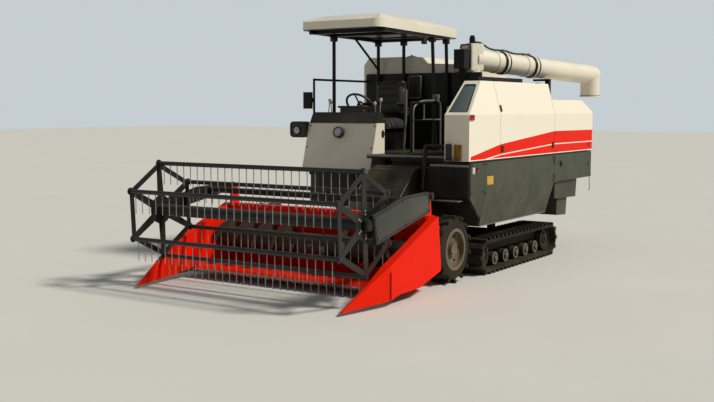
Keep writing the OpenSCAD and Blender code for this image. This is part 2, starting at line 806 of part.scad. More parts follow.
// Fixed stand tube of the unloading auger
module auger_riser() {
    color(black) {
        translate([unload_pivot[0], unload_pivot[1], roof_z]) cylinder(r = 95, h = unload_base_z - roof_z);
        translate([unload_pivot[0], unload_pivot[1], unload_base_z - 40]) cylinder(r = 122, h = 40);
        block([-832, 196, 2140], [-700, 330, 2360]);
        block([tank_front_x + 30 + seat_gap, 200, 2040], [-822, 290, 2350]);
        block([-2126, 750, rear_roof_z], [-2070, 806, 2030]);
        block([-2126, 590, 2018], [-2070, 806, 2044]);
        block([-600, 1040, roof_z], [480, 1100, roof_z + 45]);
    }
}

// Swinging gearbox, tube and outlet spout
module unload_tube() {
    base = [unload_pivot[0], unload_pivot[1], unload_front_z];
    end = [unload_end[0], unload_end[1], unload_rear_z];
    dir = (end - base) / norm(end - base);
    reach = norm(end - base);
    color(cream) difference() {
        union() {
            translate([base[0], base[1], unload_base_z + 0.5]) cylinder(r = 112, h = 60);
            translate([base[0], base[1], unload_base_z + 30]) rotate(-24)
                linear_extrude(310) round_rect([-100, -106], [100, 106], 26);
            bar(base, end, unload_r);
            for (t = [0.16, 0.4]) bar(base + dir * reach * t, base + dir * (reach * t + 40), unload_r + 8);
            translate(end) sphere(r = unload_r + 4);
            translate([end[0], end[1], spout_z]) cylinder(r = unload_r - 2, h = unload_rear_z - spout_z);
            translate([end[0], end[1], spout_z]) cylinder(r = unload_r + 8, h = 14);
        }
        translate([end[0], end[1], spout_z - 1]) cylinder(r = unload_r - 14, h = unload_rear_z - spout_z);
    }
}

// Slanted channel from the header up to the thresher
module feeder_house() {
    p = [feeder_pivot_x, feeder_pivot_z];
    color(olive) {
        difference() {
            union() {
                side_solid([
                    [p[0] - 20, p[1] + feeder_end_r], [p[0] + 120, p[1] + feeder_end_r - 30],
                    [header_back_x - seat_gap, 600], [header_back_x - seat_gap, 160],
                    [p[0] - 60, p[1] - feeder_end_r + 12]
                ], feeder_y0, feeder_y1);
                rod_y(p[0], p[1], feeder_end_r, feeder_y0, feeder_y1);
            }
            rod_y(p[0], p[1], 25, feeder_y0 - 10, feeder_y0 + 60);
            rod_y(p[0], p[1], 25, feeder_y1 - 60, feeder_y1 + 10);
        }
        side_solid([
            [lift_eye[0] - 60, lift_eye[2] - 60], [lift_eye[0] + 60, lift_eye[2] - 60],
            [lift_eye[0] + 60, lift_eye[2] + 70], [lift_eye[0] - 60, lift_eye[2] + 120]
        ], feeder_y1 - 1, feeder_y1 + 10);
        rod_y(lift_eye[0], lift_eye[2], lift_pin_d / 2, feeder_y1, lift_y + 36);
        rod_y(lift_eye[0], lift_eye[2], lift_pin_d, lift_y + 28, lift_y + 36);
    }
}

// Floor, back wall, side walls and top beam of the header
module header_frame() {
    t = sheet_t;
    color(red) {
        side_solid([
            [header_back_x, 150], [header_back_x, beam_top_z], [header_back_x + t, beam_top_z],
            [header_back_x + t, 170], [1640, 130], [1800, 100], [1960, 110], [knife_x, floor_z + t],
            [knife_x, floor_z], [1960, 98], [1800, 86], [1640, 116]
        ], -divider_in_y + t, divider_in_y - t);
        both_sides() difference() {
            side_solid([
                [header_back_x, 150], [header_back_x, beam_top_z], [1640, beam_top_z], [2000, 480],
                [knife_x, 260], [knife_x, floor_z], [1960, 86], [1640, 104]
            ], divider_in_y - t, divider_in_y);
            rod_y(header_auger_x, header_auger_z, auger_shaft_r + pin_gap, divider_in_y - 30, divider_in_y + 1);
        }
    }
    color(black) {
        block([header_back_x, -divider_in_y + t, beam_top_z - 90], [header_back_x + 90, divider_in_y - t, beam_top_z]);
        both_sides() {
            side_solid([
                [header_back_x, beam_top_z - 20], [header_back_x + 120, beam_top_z - 20],
                [reel_pivot_x + 36, reel_pivot_z + 30], [reel_pivot_x - 36, reel_pivot_z + 30]
            ], divider_in_y - 60, divider_in_y - 30);
            rod_y(reel_pivot_x, reel_pivot_z, 15, divider_in_y - 40, spider_y + 40);
        }
    }
}

// Hollow crop divider whose nose tapers to a point, left side
module divider() {
    nose_x = 2460;
    color(red) difference() {
        intersection() {
            side_solid([
                [divider_tip_x, 30], [nose_x, 352], [1630, 700], [1570, 230], [1580, 190],
                [1970, 90], [2300, 86], [nose_x, 54]
            ], divider_in_y - 120, header_y);
            linear_extrude(800) polygon([
                [1500, divider_in_y], [1500, header_y], [nose_x, header_y], [divider_tip_x, tip_y + 12],
                [divider_tip_x, tip_y - 12], [nose_x + 210, divider_in_y - 14], [knife_x + 40, divider_in_y]
            ]);
        }
        translate([0, header_y - 14, 0]) side_solid([
            [nose_x - 8, 0], [nose_x - 8, 300], [nose_x + 22, 290], [nose_x + 22, 0]
        ], 0, 30);
    }
}

// Knife back with guards along the floor's front edge
module cutterbar() {
    count = floor(2 * (divider_in_y - 40) / guard_pitch);
    color(steel) {
        block([knife_x + seat_gap, -divider_in_y + 20, floor_z - 4], [knife_x + 40, divider_in_y - 20, floor_z + 14]);
        for (i = [0 : count - 1]) translate([knife_x + 38, (i - (count - 1) / 2) * guard_pitch, floor_z - 2])
            linear_extrude(12) polygon([[0, -12], [0, 12], [62, 3], [62, -3]]);
    }
}

// Drum with opposed helical flights that feed the throat, and fingers between them
module header_auger() {
    half = divider_in_y - sheet_t - 12;
    flight_l = half - 200;
    turns = 4;
    thin = 14;
    color(black) translate([header_auger_x, 0, header_auger_z]) rotate([-90, 0, 0]) {
        translate([0, 0, -half]) cylinder(r = drum_r, h = 2 * half);
        translate([0, 0, -divider_in_y + 1]) cylinder(r = auger_shaft_r, h = 2 * divider_in_y - 2);
        for (s = [0, 1]) mirror([0, 0, s]) translate([0, 0, 180])
            linear_extrude(height = flight_l, twist = -360 * turns, slices = 24 * turns, $fn = 4) polygon([
                [drum_r - 4, 0], [flight_r, 0], [flight_r * cos(thin), flight_r * sin(thin)],
                [(drum_r - 4) * cos(thin), (drum_r - 4) * sin(thin)]
            ]);
        for (i = [0 : 5]) translate([0, 0, -150 + i * 60]) rotate([90, 0, i * 150])
            cylinder(r = 8, h = flight_r);
    }
}

// Long arms that carry the reel, joined by a torsion tube, with the side guards
module reel_arms() {
    arm_y = spider_y + 22;
    color(black) {
        both_sides() {
            difference() {
                side_solid([
                    [reel_pivot_x - 40, reel_pivot_z + 36], [reel_pivot_x - 40, reel_pivot_z - 36],
                    [reel_x - 30, reel_z - 50], [reel_x + 50, reel_z - 50], [reel_x + 50, reel_z + 50], [2164, 900]
                ], arm_y, arm_y + 14);
                rod_y(reel_x, reel_z, 25 + pin_gap, arm_y - 10, arm_y + 30);
                rod_y(reel_pivot_x, reel_pivot_z, 15 + pin_gap, arm_y - 10, arm_y + 30);
            }
        }
        rod_y(1960, 862, 30, -arm_y - 1, arm_y + 1);
        for (p = [[2000, 850], [2480, 740]]) rod_y(p[0], p[1], 24, arm_y + 13, 1226);
    }
    color(olive) difference() {
        side_solid([
            [2680, 801], [2620, 545], [1700, 744], [1752, 934], [2164, 920]
        ], 1206, 1236);
        side_solid([
            [2664, 791], [2609, 562], [1717, 756], [1763, 921], [2160, 907]
        ], 1200, 1224);
    }
}

// Middle tube with a six-armed spider at each end
module reel_spider() {
    spoke_w = 84;
    color(black) {
        rod_y(reel_x, reel_z, reel_tube_d / 2, -spider_y, spider_y);
        rod_y(reel_x, reel_z, 25, -spider_y - 40, spider_y + 40);
        both_sides() translate([reel_x, spider_y, reel_z]) rotate([90, 0, 0]) linear_extrude(10) difference() {
            union() {
                circle(r = 135);
                for (a = [reel_turn : 60 : reel_turn + 300]) rotate(a) polygon([
                    [0, -spoke_w / 2], [0, spoke_w / 2], [reel_r, 26], [reel_r, -26]
                ]);
                difference() {
                    rotate(reel_turn) circle(r = reel_r + 10, $fn = 6);
                    rotate(reel_turn) circle(r = reel_r - 44, $fn = 6);
                }
                for (a = [reel_turn : 60 : reel_turn + 300]) rotate(a) translate([reel_r, 0]) circle(r = 34);
            }
            for (a = [reel_turn : 60 : reel_turn + 300]) rotate(a) translate([reel_r, 0])
                circle(r = tine_bar_d / 2 + pin_gap);
        }
    }
}

// One tine bar with its row of hanging tines
module tine_bar(i) {
    a = reel_turn + 60 * (i - 1);
    x = reel_x + reel_r * cos(a);
    z = reel_z + reel_r * sin(a);
    half = spider_y - 20;
    count = floor((2 * half - 40) / tine_pitch);
    color(black) {
        rod_y(x, z, tine_bar_d / 2, -spider_y - 8, spider_y + 8);
        for (k = [0 : count]) translate([x, (k - count / 2) * tine_pitch, z - tine_l])
            cylinder(d = 8, h = tine_l, $fn = 6);
    }
}

module lift_barrel() {
    color(black) translate(lift_base) rotate([0, -lift_angle, 0]) difference() {
        union() {
            translate([30, 0, 0]) rotate([0, 90, 0]) cylinder(r = 32, h = lift_len * 0.6);
            rotate([90, 0, 0]) cylinder(r = 32, h = 50, center = true);
        }
        rotate([90, 0, 0]) cylinder(d = lift_pin_d + 2 * pin_gap, h = 80, center = true);
        translate([60, 0, 0]) rotate([0, 90, 0]) cylinder(r = 20 + pin_gap, h = lift_len);
    }
}

module lift_rod() {
    color(steel) translate(lift_base) rotate([0, -lift_angle, 0]) difference() {
        union() {
            translate([lift_len * 0.3, 0, 0]) rotate([0, 90, 0]) cylinder(r = 20, h = lift_len * 0.7 - 30);
            translate([lift_len, 0, 0]) rotate([90, 0, 0]) cylinder(r = 34, h = 40, center = true);
        }
        translate([lift_len, 0, 0]) rotate([90, 0, 0]) cylinder(d = lift_eye_d, h = 60, center = true);
    }
}

module divider_left() { divider(); }
module divider_right() { mirror([0, 1, 0]) divider(); }
module track_left() { track(); }
module track_right() { mirror([0, 1, 0]) track(); }
module track_frame_left() { track_frame(); }
module track_frame_right() { mirror([0, 1, 0]) track_frame(); }
module rim_left() { rim(); }
module rim_right() { mirror([0, 1, 0]) rim(); }
module tyre_left() { tyre(); }
module tyre_right() { mirror([0, 1, 0]) tyre(); }
module knuckle_left() { knuckle(); }
module knuckle_right() { mirror([0, 1, 0]) knuckle(); }

chassis_frame();
front_axle();
track_left();
track_right();
track_frame_left();
track_frame_right();
thresher_body();
upper_cover_front();
upper_cover_rear();
lower_cover_front();
lower_cover_main();
straw_outlet();
grain_tank();
right_cover();
engine();
deck();
console();
dash();
seat_base();
seat_cushion();
seat_back();
canopy_roof();
canopy_posts();
handrails();
lamps();
bulkhead();
auger_riser();
side_door();
rear_door();
feeder_house();
header_frame();
divider_left();
divider_right();
cutterbar();
header_auger();
reel_arms();
reel_spider();
tine_bar(1);  // tine_bar_1
tine_bar(2);  // tine_bar_2
tine_bar(3);  // tine_bar_3
tine_bar(4);  // tine_bar_4
tine_bar(5);  // tine_bar_5
tine_bar(6);  // tine_bar_6
rim_left();
rim_right();
tyre_left();
tyre_right();
knuckle_left();
knuckle_right();
tie_rod();
unload_tube();
lift_barrel();
lift_rod();
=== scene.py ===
"""Looks of the rice combine: paint, rubber, glass, seat pads, lamps, latches, hinges and guards."""

import math

import bpy
from mathutils import Matrix, Vector


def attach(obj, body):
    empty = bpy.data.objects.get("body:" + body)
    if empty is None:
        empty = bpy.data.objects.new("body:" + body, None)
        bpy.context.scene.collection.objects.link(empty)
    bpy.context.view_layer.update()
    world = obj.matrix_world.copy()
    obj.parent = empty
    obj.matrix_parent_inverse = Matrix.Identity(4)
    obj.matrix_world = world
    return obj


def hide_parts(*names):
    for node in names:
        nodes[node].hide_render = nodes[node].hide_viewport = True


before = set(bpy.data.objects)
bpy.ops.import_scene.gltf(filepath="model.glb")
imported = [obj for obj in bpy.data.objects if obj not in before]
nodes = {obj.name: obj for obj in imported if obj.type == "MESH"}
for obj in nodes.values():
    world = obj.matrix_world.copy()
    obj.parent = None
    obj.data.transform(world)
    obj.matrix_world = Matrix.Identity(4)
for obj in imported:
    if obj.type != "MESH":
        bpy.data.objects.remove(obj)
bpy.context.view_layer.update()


def into_scene(thing):
    bpy.context.scene.collection.objects.link(thing)
    return thing


# Camera at the photograph's viewing angle
CAMERA_PLACE = (9.608, 5.624, 1.695)
CAMERA_HEADING = math.radians(33.271)
CAMERA_SLOPE = math.radians(5.377)
CAMERA_LENS = 50.22


def make_camera():
    level = Vector((-math.cos(CAMERA_HEADING), -math.sin(CAMERA_HEADING), 0)) * math.cos(CAMERA_SLOPE)
    view = level - Vector((0, 0, math.sin(CAMERA_SLOPE)))
    camera_data = bpy.data.cameras.new("photo_camera")
    camera_data.lens = CAMERA_LENS
    camera_data.sensor_width = 36
    camera = into_scene(bpy.data.objects.new("photo_camera", camera_data))
    camera.location = CAMERA_PLACE
    camera.rotation_mode = "QUATERNION"
    camera.rotation_quaternion = view.to_track_quat("-Z", "Y")
    bpy.context.scene.camera = camera


make_camera()


# Colours are given as they look on a screen, from 0 to 255
def tint(r, g, b):
    def linear(v):
        v /= 255.0
        return v / 12.92 if v <= 0.04045 else ((v + 0.055) / 1.055) ** 2.4

    return (linear(r), linear(g), linear(b), 1.0)


CREAM = tint(236, 229, 210)
OLIVE = tint(64, 69, 57)
RED = tint(232, 27, 0)
FRAME_BLACK = tint(15, 16, 17)
DUST = tint(138, 117, 84)

# Places that several pieces share, in metres, and angles in radians
SIDES = (("left", 1), ("right", -1))
REEL_X, REEL_Z = 2.69, 0.72
TINE_BAR_REACH = 0.445
FIRST_TINE_BAR = math.radians(27)
WHEEL_X, WHEEL_Z = 1.13, 0.33
COVER_SIDE = 1.2497
TOWER_FRONT = 0.9705
DECK_TOP = 1.1902
ROOF_SLOPE = math.radians(0.9)
FLANGE_PLACES = (0.494, 1.008)
CLAMP_PLACES = (0.462, 0.526, 0.975, 1.042)


# Selection and placing
def deselect():
    bpy.ops.object.select_all(action="DESELECT")


def pick(piece):
    deselect()
    piece.select_set(True)
    bpy.context.view_layer.objects.active = piece
    return piece


def settle(piece):
    pick(piece)
    bpy.ops.object.transform_apply(location=True, rotation=True, scale=True)
    return piece


def name_it(name):
    piece = bpy.context.active_object
    piece.name = name
    piece.data.name = name
    return piece


def finish_with(piece, kind, **settings):
    pick(piece)
    modifier = piece.modifiers.new(kind.title(), kind)
    for key, value in settings.items():
        setattr(modifier, key, value)
    bpy.ops.object.modifier_apply(modifier=modifier.name)
    return piece


def smooth(piece, degrees=35):
    pick(piece)
    bpy.ops.object.shade_smooth_by_angle(angle=math.radians(degrees))
    return piece


def leave_edit():
    bpy.ops.object.mode_set(mode="OBJECT")


def select_faces(piece, test):
    pick(piece)
    bpy.ops.object.mode_set(mode="EDIT")
    bpy.ops.mesh.select_mode(type="FACE")
    bpy.ops.mesh.select_all(action="DESELECT")
    leave_edit()
    for face in piece.data.polygons:
        face.select = test(face)
    bpy.ops.object.mode_set(mode="EDIT")


def edit_all(piece):
    pick(piece)
    bpy.ops.object.mode_set(mode="EDIT")
    bpy.ops.mesh.select_all(action="SELECT")


def face_outwards(piece):
    edit_all(piece)
    bpy.ops.mesh.normals_make_consistent(inside=False)
    leave_edit()


# A box with rounded edges between two corners
def rounded_box(name, low, high, edge=0.004, steps=2):
    deselect()
    middle = [(a + b) / 2 for a, b in zip(low, high)]
    bpy.ops.mesh.primitive_cube_add(size=1, location=middle)
    piece = name_it(name)
    piece.scale = [b - a for a, b in zip(low, high)]
    settle(piece)
    finish_with(piece, "BEVEL", width=edge, segments=steps, limit_method="ANGLE")
    return smooth(piece)


# A pressed cover plate: a box whose outer face is raised in the middle
def pressed_plate(name, low, high, outward, border=0.03, rise=0.006, edge=0.004):
    piece = rounded_box(name, low, high, edge)
    face_way = Vector(outward)
    select_faces(piece, lambda f: f.normal.dot(face_way) > 0.98 and f.area > 0.0004)
    bpy.ops.mesh.inset(thickness=border, depth=0)
    bpy.ops.mesh.inset(thickness=rise, depth=rise)
    leave_edit()
    return smooth(piece)


# A round piece turned from a profile of (radius, place) pairs along an axis
def turned(name, profile, centre, axis=(0, 0, 1), steps=32):
    deselect()
    bpy.ops.mesh.primitive_plane_add(size=1, location=(0, 0, 0))
    piece = name_it(name)
    edit_all(piece)
    bpy.ops.mesh.delete(type="VERT")
    leave_edit()
    mesh = piece.data
    mesh.from_pydata(
        [(radius, 0, place) for radius, place in profile],
        [(i, i + 1) for i in range(len(profile) - 1)],
        [],
    )
    edit_all(piece)
    bpy.ops.mesh.spin(
        steps=steps, angle=math.tau, center=(0, 0, 0), axis=(0, 0, 1), use_auto_merge=True
    )
    bpy.ops.mesh.select_all(action="SELECT")
    bpy.ops.mesh.remove_doubles(threshold=0.00005)
    bpy.ops.mesh.normals_make_consistent(inside=False)
    leave_edit()
    turn = Vector((0, 0, 1)).rotation_difference(Vector(axis).normalized())
    piece.rotation_mode = "QUATERNION"
    piece.rotation_quaternion = turn
    piece.location = centre
    settle(piece)
    return smooth(piece)


# A round bar that follows points, as a mesh
def bar_along(name, path, radius, roundness, closed):
    curve = bpy.data.curves.new(name, "CURVE")
    curve.dimensions = "3D"
    curve.bevel_depth = radius
    curve.bevel_resolution = roundness
    curve.use_fill_caps = not closed
    spline = curve.splines.new("POLY")
    spline.points.add(len(path) - 1)
    for spot, point in zip(spline.points, path):
        spot.co = (*point, 1)
    spline.use_cyclic_u = closed
    pick(into_scene(bpy.data.objects.new(name, curve)))
    bpy.ops.object.convert(target="MESH")
    return name_it(name)


# A round tube whose corners are bent
def bent_tube(name, points, radius, corner=0.05, smoothness=6):
    path = []
    points = [Vector(p) for p in points]
    for i, point in enumerate(points):
        if i in (0, len(points) - 1) or corner == 0:
            path.append(point)
            continue
        before = points[i - 1] - point
        after = points[i + 1] - point
        cut = min(corner, before.length * 0.45, after.length * 0.45)
        start = point + before.normalized() * cut
        end = point + after.normalized() * cut
        for k in range(smoothness + 1):
            t = k / smoothness
            path.append(start * (1 - t) ** 2 + point * 2 * t * (1 - t) + end * t * t)
    return smooth(bar_along(name, path, radius, 5, False), 50)


# Points on a ring about a line that runs from left to right
def ring_spots(x, y, z, reach, count, first=0.0):
    turns = [first + math.tau * k / count for k in range(count)]
    return [(x + reach * math.cos(turn), y, z + reach * math.sin(turn)) for turn in turns]


# A plain pin or hinge barrel about its middle
def round_pin(name, radius, half, centre, axis, steps):
    return turned(name, [(0, -half), (radius, -half), (radius, half), (0, half)], centre, axis, steps)


# Copies of a small piece at many places, joined to one piece
def repeated(name, original, moves):
    made = []
    for move in moves:
        copy = into_scene(original.copy())
        copy.data = original.data.copy()
        copy.data.transform(move)
        made.append(copy)
    bpy.data.objects.remove(original)
    pick(made[0])
    for copy in made:
        copy.select_set(True)
    if len(made) > 1:
        bpy.ops.object.join()
    return name_it(name)


def joined(name, parts):
    pick(parts[0])
    for part in parts:
        part.select_set(True)
    bpy.context.view_layer.objects.active = parts[0]
    if len(parts) > 1:
        bpy.ops.object.join()
    return name_it(name)


def towards(direction, place):
    turn = Vector((0, 0, 1)).rotation_difference(Vector(direction).normalized())
    return Matrix.Translation(place) @ turn.to_matrix().to_4x4()


def hex_bolt(radius=0.011, height=0.007):
    deselect()
    bpy.ops.mesh.primitive_cylinder_add(vertices=6, radius=radius, depth=height, location=(0, 0, height / 2))
    bolt = name_it("bolt_pattern")
    settle(bolt)
    select_faces(bolt, lambda f: f.normal.z > 0.9)
    bpy.ops.mesh.inset(thickness=radius * 0.22, depth=height * 0.18)
    leave_edit()
    deselect()
    bpy.ops.mesh.primitive_cylinder_add(vertices=16, radius=radius * 1.5, depth=0.002, location=(0, 0, 0.001))
    washer = name_it("washer")
    settle(washer)
    return joined("bolt_pattern", [bolt, washer])


def bolts(name, places, direction, radius=0.011, height=0.007):
    return repeated(name, hex_bolt(radius, height), [towards(direction, p) for p in places])


# Hydraulic hose from the auger's motor along the top of its tube, made before all other pieces.
# Each row is the way along the tube, the height over its axis and the way to the side
AUGER_PIVOT = Vector((-1.010, 0.275, 2.255))
AUGER_END = Vector((-3.030, 0.978, 2.116))
HOSE_ROUTE = [
    (0.030, 0.206, 0.0), (0.075, 0.208, 0.0), (0.13, 0.205, -0.004), (0.19, 0.188, -0.010),
    (0.25, 0.166, -0.014), (0.31, 0.152, -0.012), (0.363, 0.1475, -0.004), (0.43, 0.149, 0.006),
    (0.494, 0.1515, 0.012), (0.56, 0.149, 0.012), (0.63, 0.140, 0.006), (0.70, 0.1362, -0.004),
    (0.77, 0.1385, -0.012), (0.83, 0.1445, -0.012), (0.877, 0.1455, -0.008), (0.92, 0.146, -0.002),
    (0.955, 0.148, 0.0),
]


def smooth_path(points, parts=4):
    path = []
    for i in range(len(points) - 1):
        before, after = points[max(i - 1, 0)], points[min(i + 2, len(points) - 1)]
        here, there = points[i], points[i + 1]
        for k in range(parts):
            t = k / parts
            path.append(0.5 * (
                2 * here + (there - before) * t + (2 * before - 5 * here + 4 * there - after) * t * t
                + (3 * here - before - 3 * there + after) * t ** 3
            ))
    return path + [points[-1]]


def make_auger_hose():
    along = (AUGER_END - AUGER_PIVOT).normalized()
    aside = along.cross(Vector((0, 0, 1))).normalized()
    up = aside.cross(along)
    route = [AUGER_PIVOT + along * s + up * h + aside * w for s, h, w in HOSE_ROUTE]
    points = smooth_path(route)
    hose = bent_tube("auger_hose", points, 0.011, 0)
    return hose, points


auger_hose, hose_points = make_auger_hose()


# Node groups that several finishes share
def new_group(name, inputs, outputs):
    group = bpy.data.node_groups.new(name, "ShaderNodeTree")
    for label, kind, value in inputs:
        socket = group.interface.new_socket(name=label, in_out="INPUT", socket_type=kind)
        socket.default_value = value
    for label, kind in outputs:
        group.interface.new_socket(name=label, in_out="OUTPUT", socket_type=kind)
    return group, group.nodes.new("NodeGroupInput"), group.nodes.new("NodeGroupOutput")


def add(tree, kind, **settings):
    node = tree.nodes.new(kind)
    for key, value in settings.items():
        setattr(node, key, value)
    return node


# A plain value is set on the socket, and another node's output is linked to it
def plug(tree, socket, value):
    if isinstance(value, (int, float, tuple)):
        socket.default_value = value
    elif value is not None:
        tree.links.new(value, socket)


def feed(tree, node, **values):
    for key, value in values.items():
        plug(tree, node.inputs[key.replace("_", " ")], value)
    return node


def maths(tree, operation, first, second=None, third=None, clamp=False):
    node = add(tree, "ShaderNodeMath", operation=operation, use_clamp=clamp)
    for socket, value in zip(node.inputs, (first, second, third)):
        plug(tree, socket, value)
    return node.outputs[0]


def mixed(tree, factor, first, second):
    node = add(tree, "ShaderNodeMix", data_type="RGBA")
    for index, value in ((0, factor), (6, first), (7, second)):
        plug(tree, node.inputs[index], value)
    return node.outputs[2]


def object_place(tree):
    return add(tree, "ShaderNodeTexCoord").outputs["Object"]


def taken_apart(tree, vector):
    node = add(tree, "ShaderNodeSeparateXYZ")
    tree.links.new(vector, node.inputs[0])
    return node.outputs


def noise(tree, vector, scale, detail=4.0, roughness=0.55):
    node = add(tree, "ShaderNodeTexNoise")
    return feed(tree, node, Vector=vector, Scale=scale, Detail=detail, Roughness=roughness).outputs["Fac"]


def ramp(tree, value, low, high):
    node = add(tree, "ShaderNodeMapRange", interpolation_type="SMOOTHSTEP")
    return feed(tree, node, Value=value, From_Min=low, From_Max=high).outputs["Result"]


def stretched(tree, vector, x, y, z):
    node = add(tree, "ShaderNodeMapping")
    return feed(tree, node, Vector=vector, Scale=(x, y, z)).outputs["Vector"]


# Dust that lies on tops, hangs low on sides and runs down in streaks; with a dust colour darker than the
# paint, the low part is painted shade
def make_settled_dust():
    group, given, made = new_group(
        "settled_dust",
        [("Finish", "NodeSocketColor", CREAM), ("Dust", "NodeSocketColor", DUST),
         ("Amount", "NodeSocketFloat", 0.4), ("Low Height", "NodeSocketFloat", 1.2)],
        [("Color", "NodeSocketColor"), ("Mask", "NodeSocketFloat")],
    )
    spot = object_place(group)
    facing = taken_apart(group, add(group, "ShaderNodeNewGeometry").outputs["Normal"])
    place = taken_apart(group, spot)
    cloud = noise(group, spot, 3.2, 6.0, 0.62)
    fine = noise(group, spot, 46.0, 3.0, 0.6)
    streak = noise(group, stretched(group, spot, 22.0, 22.0, 1.3), 1.0, 3.0, 0.5)
    top = ramp(group, facing["Z"], 0.25, 1.0)
    low = maths(group, "DIVIDE", place["Z"], given.outputs["Low Height"])
    low = maths(group, "SUBTRACT", 1.0, low, clamp=True)
    low = maths(group, "POWER", low, 1.4)
    body = maths(group, "MULTIPLY_ADD", top, 0.55, 0.22)
    body = maths(group, "MULTIPLY_ADD", low, 1.1, body)
    body = maths(group, "MULTIPLY", body, ramp(group, cloud, 0.28, 0.72))
    body = maths(group, "MULTIPLY_ADD", ramp(group, streak, 0.52, 0.8), 0.16, body)
    body = maths(group, "MULTIPLY_ADD", ramp(group, fine, 0.45, 0.85), 0.14, body)
    mask = maths(group, "MULTIPLY", body, given.outputs["Amount"], clamp=True)
    colour = mixed(group, mask, given.outputs["Finish"], given.outputs["Dust"])
    feed(group, made, Color=colour, Mask=mask)
    return group


# Fine scratches and chips that show a second colour
def make_scuffs():
    group, given, made = new_group(
        "scuffs",
        [("Finish", "NodeSocketColor", CREAM), ("Under", "NodeSocketColor", FRAME_BLACK),
         ("Amount", "NodeSocketFloat", 0.3), ("Scale", "NodeSocketFloat", 8.0)],
        [("Color", "NodeSocketColor"), ("Height", "NodeSocketFloat")],
    )
    scaled = add(group, "ShaderNodeVectorMath", operation="SCALE")
    group.links.new(object_place(group), scaled.inputs[0])
    group.links.new(given.outputs["Scale"], scaled.inputs["Scale"])
    along = noise(group, stretched(group, scaled.outputs[0], 0.5, 9.0, 9.0), 1.0, 4.0, 0.7)
    chips = noise(group, scaled.outputs[0], 5.0, 6.0, 0.75)
    worn = maths(group, "ADD", ramp(group, along, 0.69, 0.73), ramp(group, chips, 0.70, 0.74), clamp=True)
    worn = maths(group, "MULTIPLY", worn, given.outputs["Amount"], clamp=True)
    colour = mixed(group, worn, given.outputs["Finish"], given.outputs["Under"])
    feed(group, made, Color=colour, Height=maths(group, "MULTIPLY", worn, -1.0))
    return group


settled_dust = make_settled_dust()
scuffs = make_scuffs()


def scuffed(tree, finish, under, amount, scale):
    node = add(tree, "ShaderNodeGroup", node_tree=scuffs)
    feed(tree, node, Finish=finish, Under=under, Amount=amount, Scale=scale)
    return node.outputs["Color"], node.outputs["Height"]


def dusted(tree, finish, amount, low, dust=DUST):
    node = add(tree, "ShaderNodeGroup", node_tree=settled_dust)
    feed(tree, node, Finish=finish, Dust=dust, Amount=amount, Low_Height=low)
    return node.outputs["Color"], node.outputs["Mask"]


# Roughness that rises where dust lies
def dulled(tree, mask, rise, base):
    return maths(tree, "MULTIPLY_ADD", mask, rise, base, clamp=True)


def blank_material(name):
    material = bpy.data.materials.new(name)
    material.use_nodes = True
    tree = material.node_tree
    return material, tree, tree.nodes["Principled BSDF"]


def add_bump(tree, shader, height, strength, distance):
    bump = add(tree, "ShaderNodeBump")
    feed(tree, bump, Strength=strength, Distance=distance, Height=height)
    tree.links.new(bump.outputs[0], shader.inputs["Normal"])


# Painted sheet: paint with orange-peel, scuffs and dust; stripes may come in as the colour; a dust colour
# darker than the paint also paints shade low down
def painted(name, colour, under=FRAME_BLACK, gloss=0.32, dust=0.4, low=1.2, wear=0.25, coat=0.25,
            dust_and_shade_colour=DUST, paint_source=None, wear_scale=8.0, fade=0.05, shine=0.18):
    material, tree, shader = blank_material(name)
    spot = object_place(tree)
    base = paint_source(tree, spot) if paint_source else colour
    patch = ramp(tree, noise(tree, spot, 1.7, 3.0), 0.3, 0.8)
    faded = mixed(tree, maths(tree, "MULTIPLY", patch, fade), base, tint(190, 178, 150))
    worn, chips = scuffed(tree, faded, under, wear, wear_scale)
    dusty, mask = dusted(tree, worn, dust, low, dust_and_shade_colour)
    rough = maths(tree, "MULTIPLY_ADD", mask, 0.55, gloss)
    rough = maths(tree, "MULTIPLY_ADD", noise(tree, spot, 60.0, 2.0), 0.08, rough, clamp=True)
    feed(tree, shader, Base_Color=dusty, Roughness=rough, Coat_Weight=coat, Coat_Roughness=0.18,
         Specular_IOR_Level=shine)
    peel = noise(tree, spot, 240.0, 2.0)
    dent = noise(tree, spot, 2.4, 2.0)
    height = maths(tree, "ADD", maths(tree, "MULTIPLY_ADD", dent, 6.0, peel), chips)
    add_bump(tree, shader, height, 0.12, 0.0012)
    return material


# Red stripe with a thin cream line that rises along the covers, drawn from X and Z
def stripe_paint(tree, spot):
    place = taken_apart(tree, spot)
    x, z = place["X"], place["Z"]
    rear, span, foot = -2.5, 3.6, 1.0

    def line(points):
        curve = add(tree, "ShaderNodeFloatCurve")
        points = [((a - rear) / span, b - foot) for a, b in points]
        shape = curve.mapping.curves[0]
        shape.points[0].location = points[0]
        shape.points[-1].location = points[-1]
        for point in points[1:-1]:
            shape.points.new(*point)
        for point in shape.points:
            point.handle_type = "VECTOR"
        curve.mapping.update()
        feed(tree, curve, Value=maths(tree, "DIVIDE", maths(tree, "ADD", x, -rear), span))
        return maths(tree, "ADD", curve.outputs[0], foot)

    upper = line([(-2.5, 1.418), (-1.18, 1.424), (0.25, 1.318), (0.93, 1.214), (1.1, 1.19)])
    thin = line([(-2.5, 1.276), (-1.18, 1.278), (0.25, 1.212), (0.52, 1.186), (1.1, 1.12)])
    area = maths(tree, "MULTIPLY", maths(tree, "LESS_THAN", z, upper), maths(tree, "GREATER_THAN", z, 1.180))
    front = maths(tree, "LESS_THAN", x, 0.935)
    gap = maths(tree, "GREATER_THAN", maths(tree, "ABSOLUTE", maths(tree, "SUBTRACT", z, thin)), 0.006)
    area = maths(tree, "MULTIPLY", area, maths(tree, "MULTIPLY", front, gap))
    return mixed(tree, area, CREAM, RED)


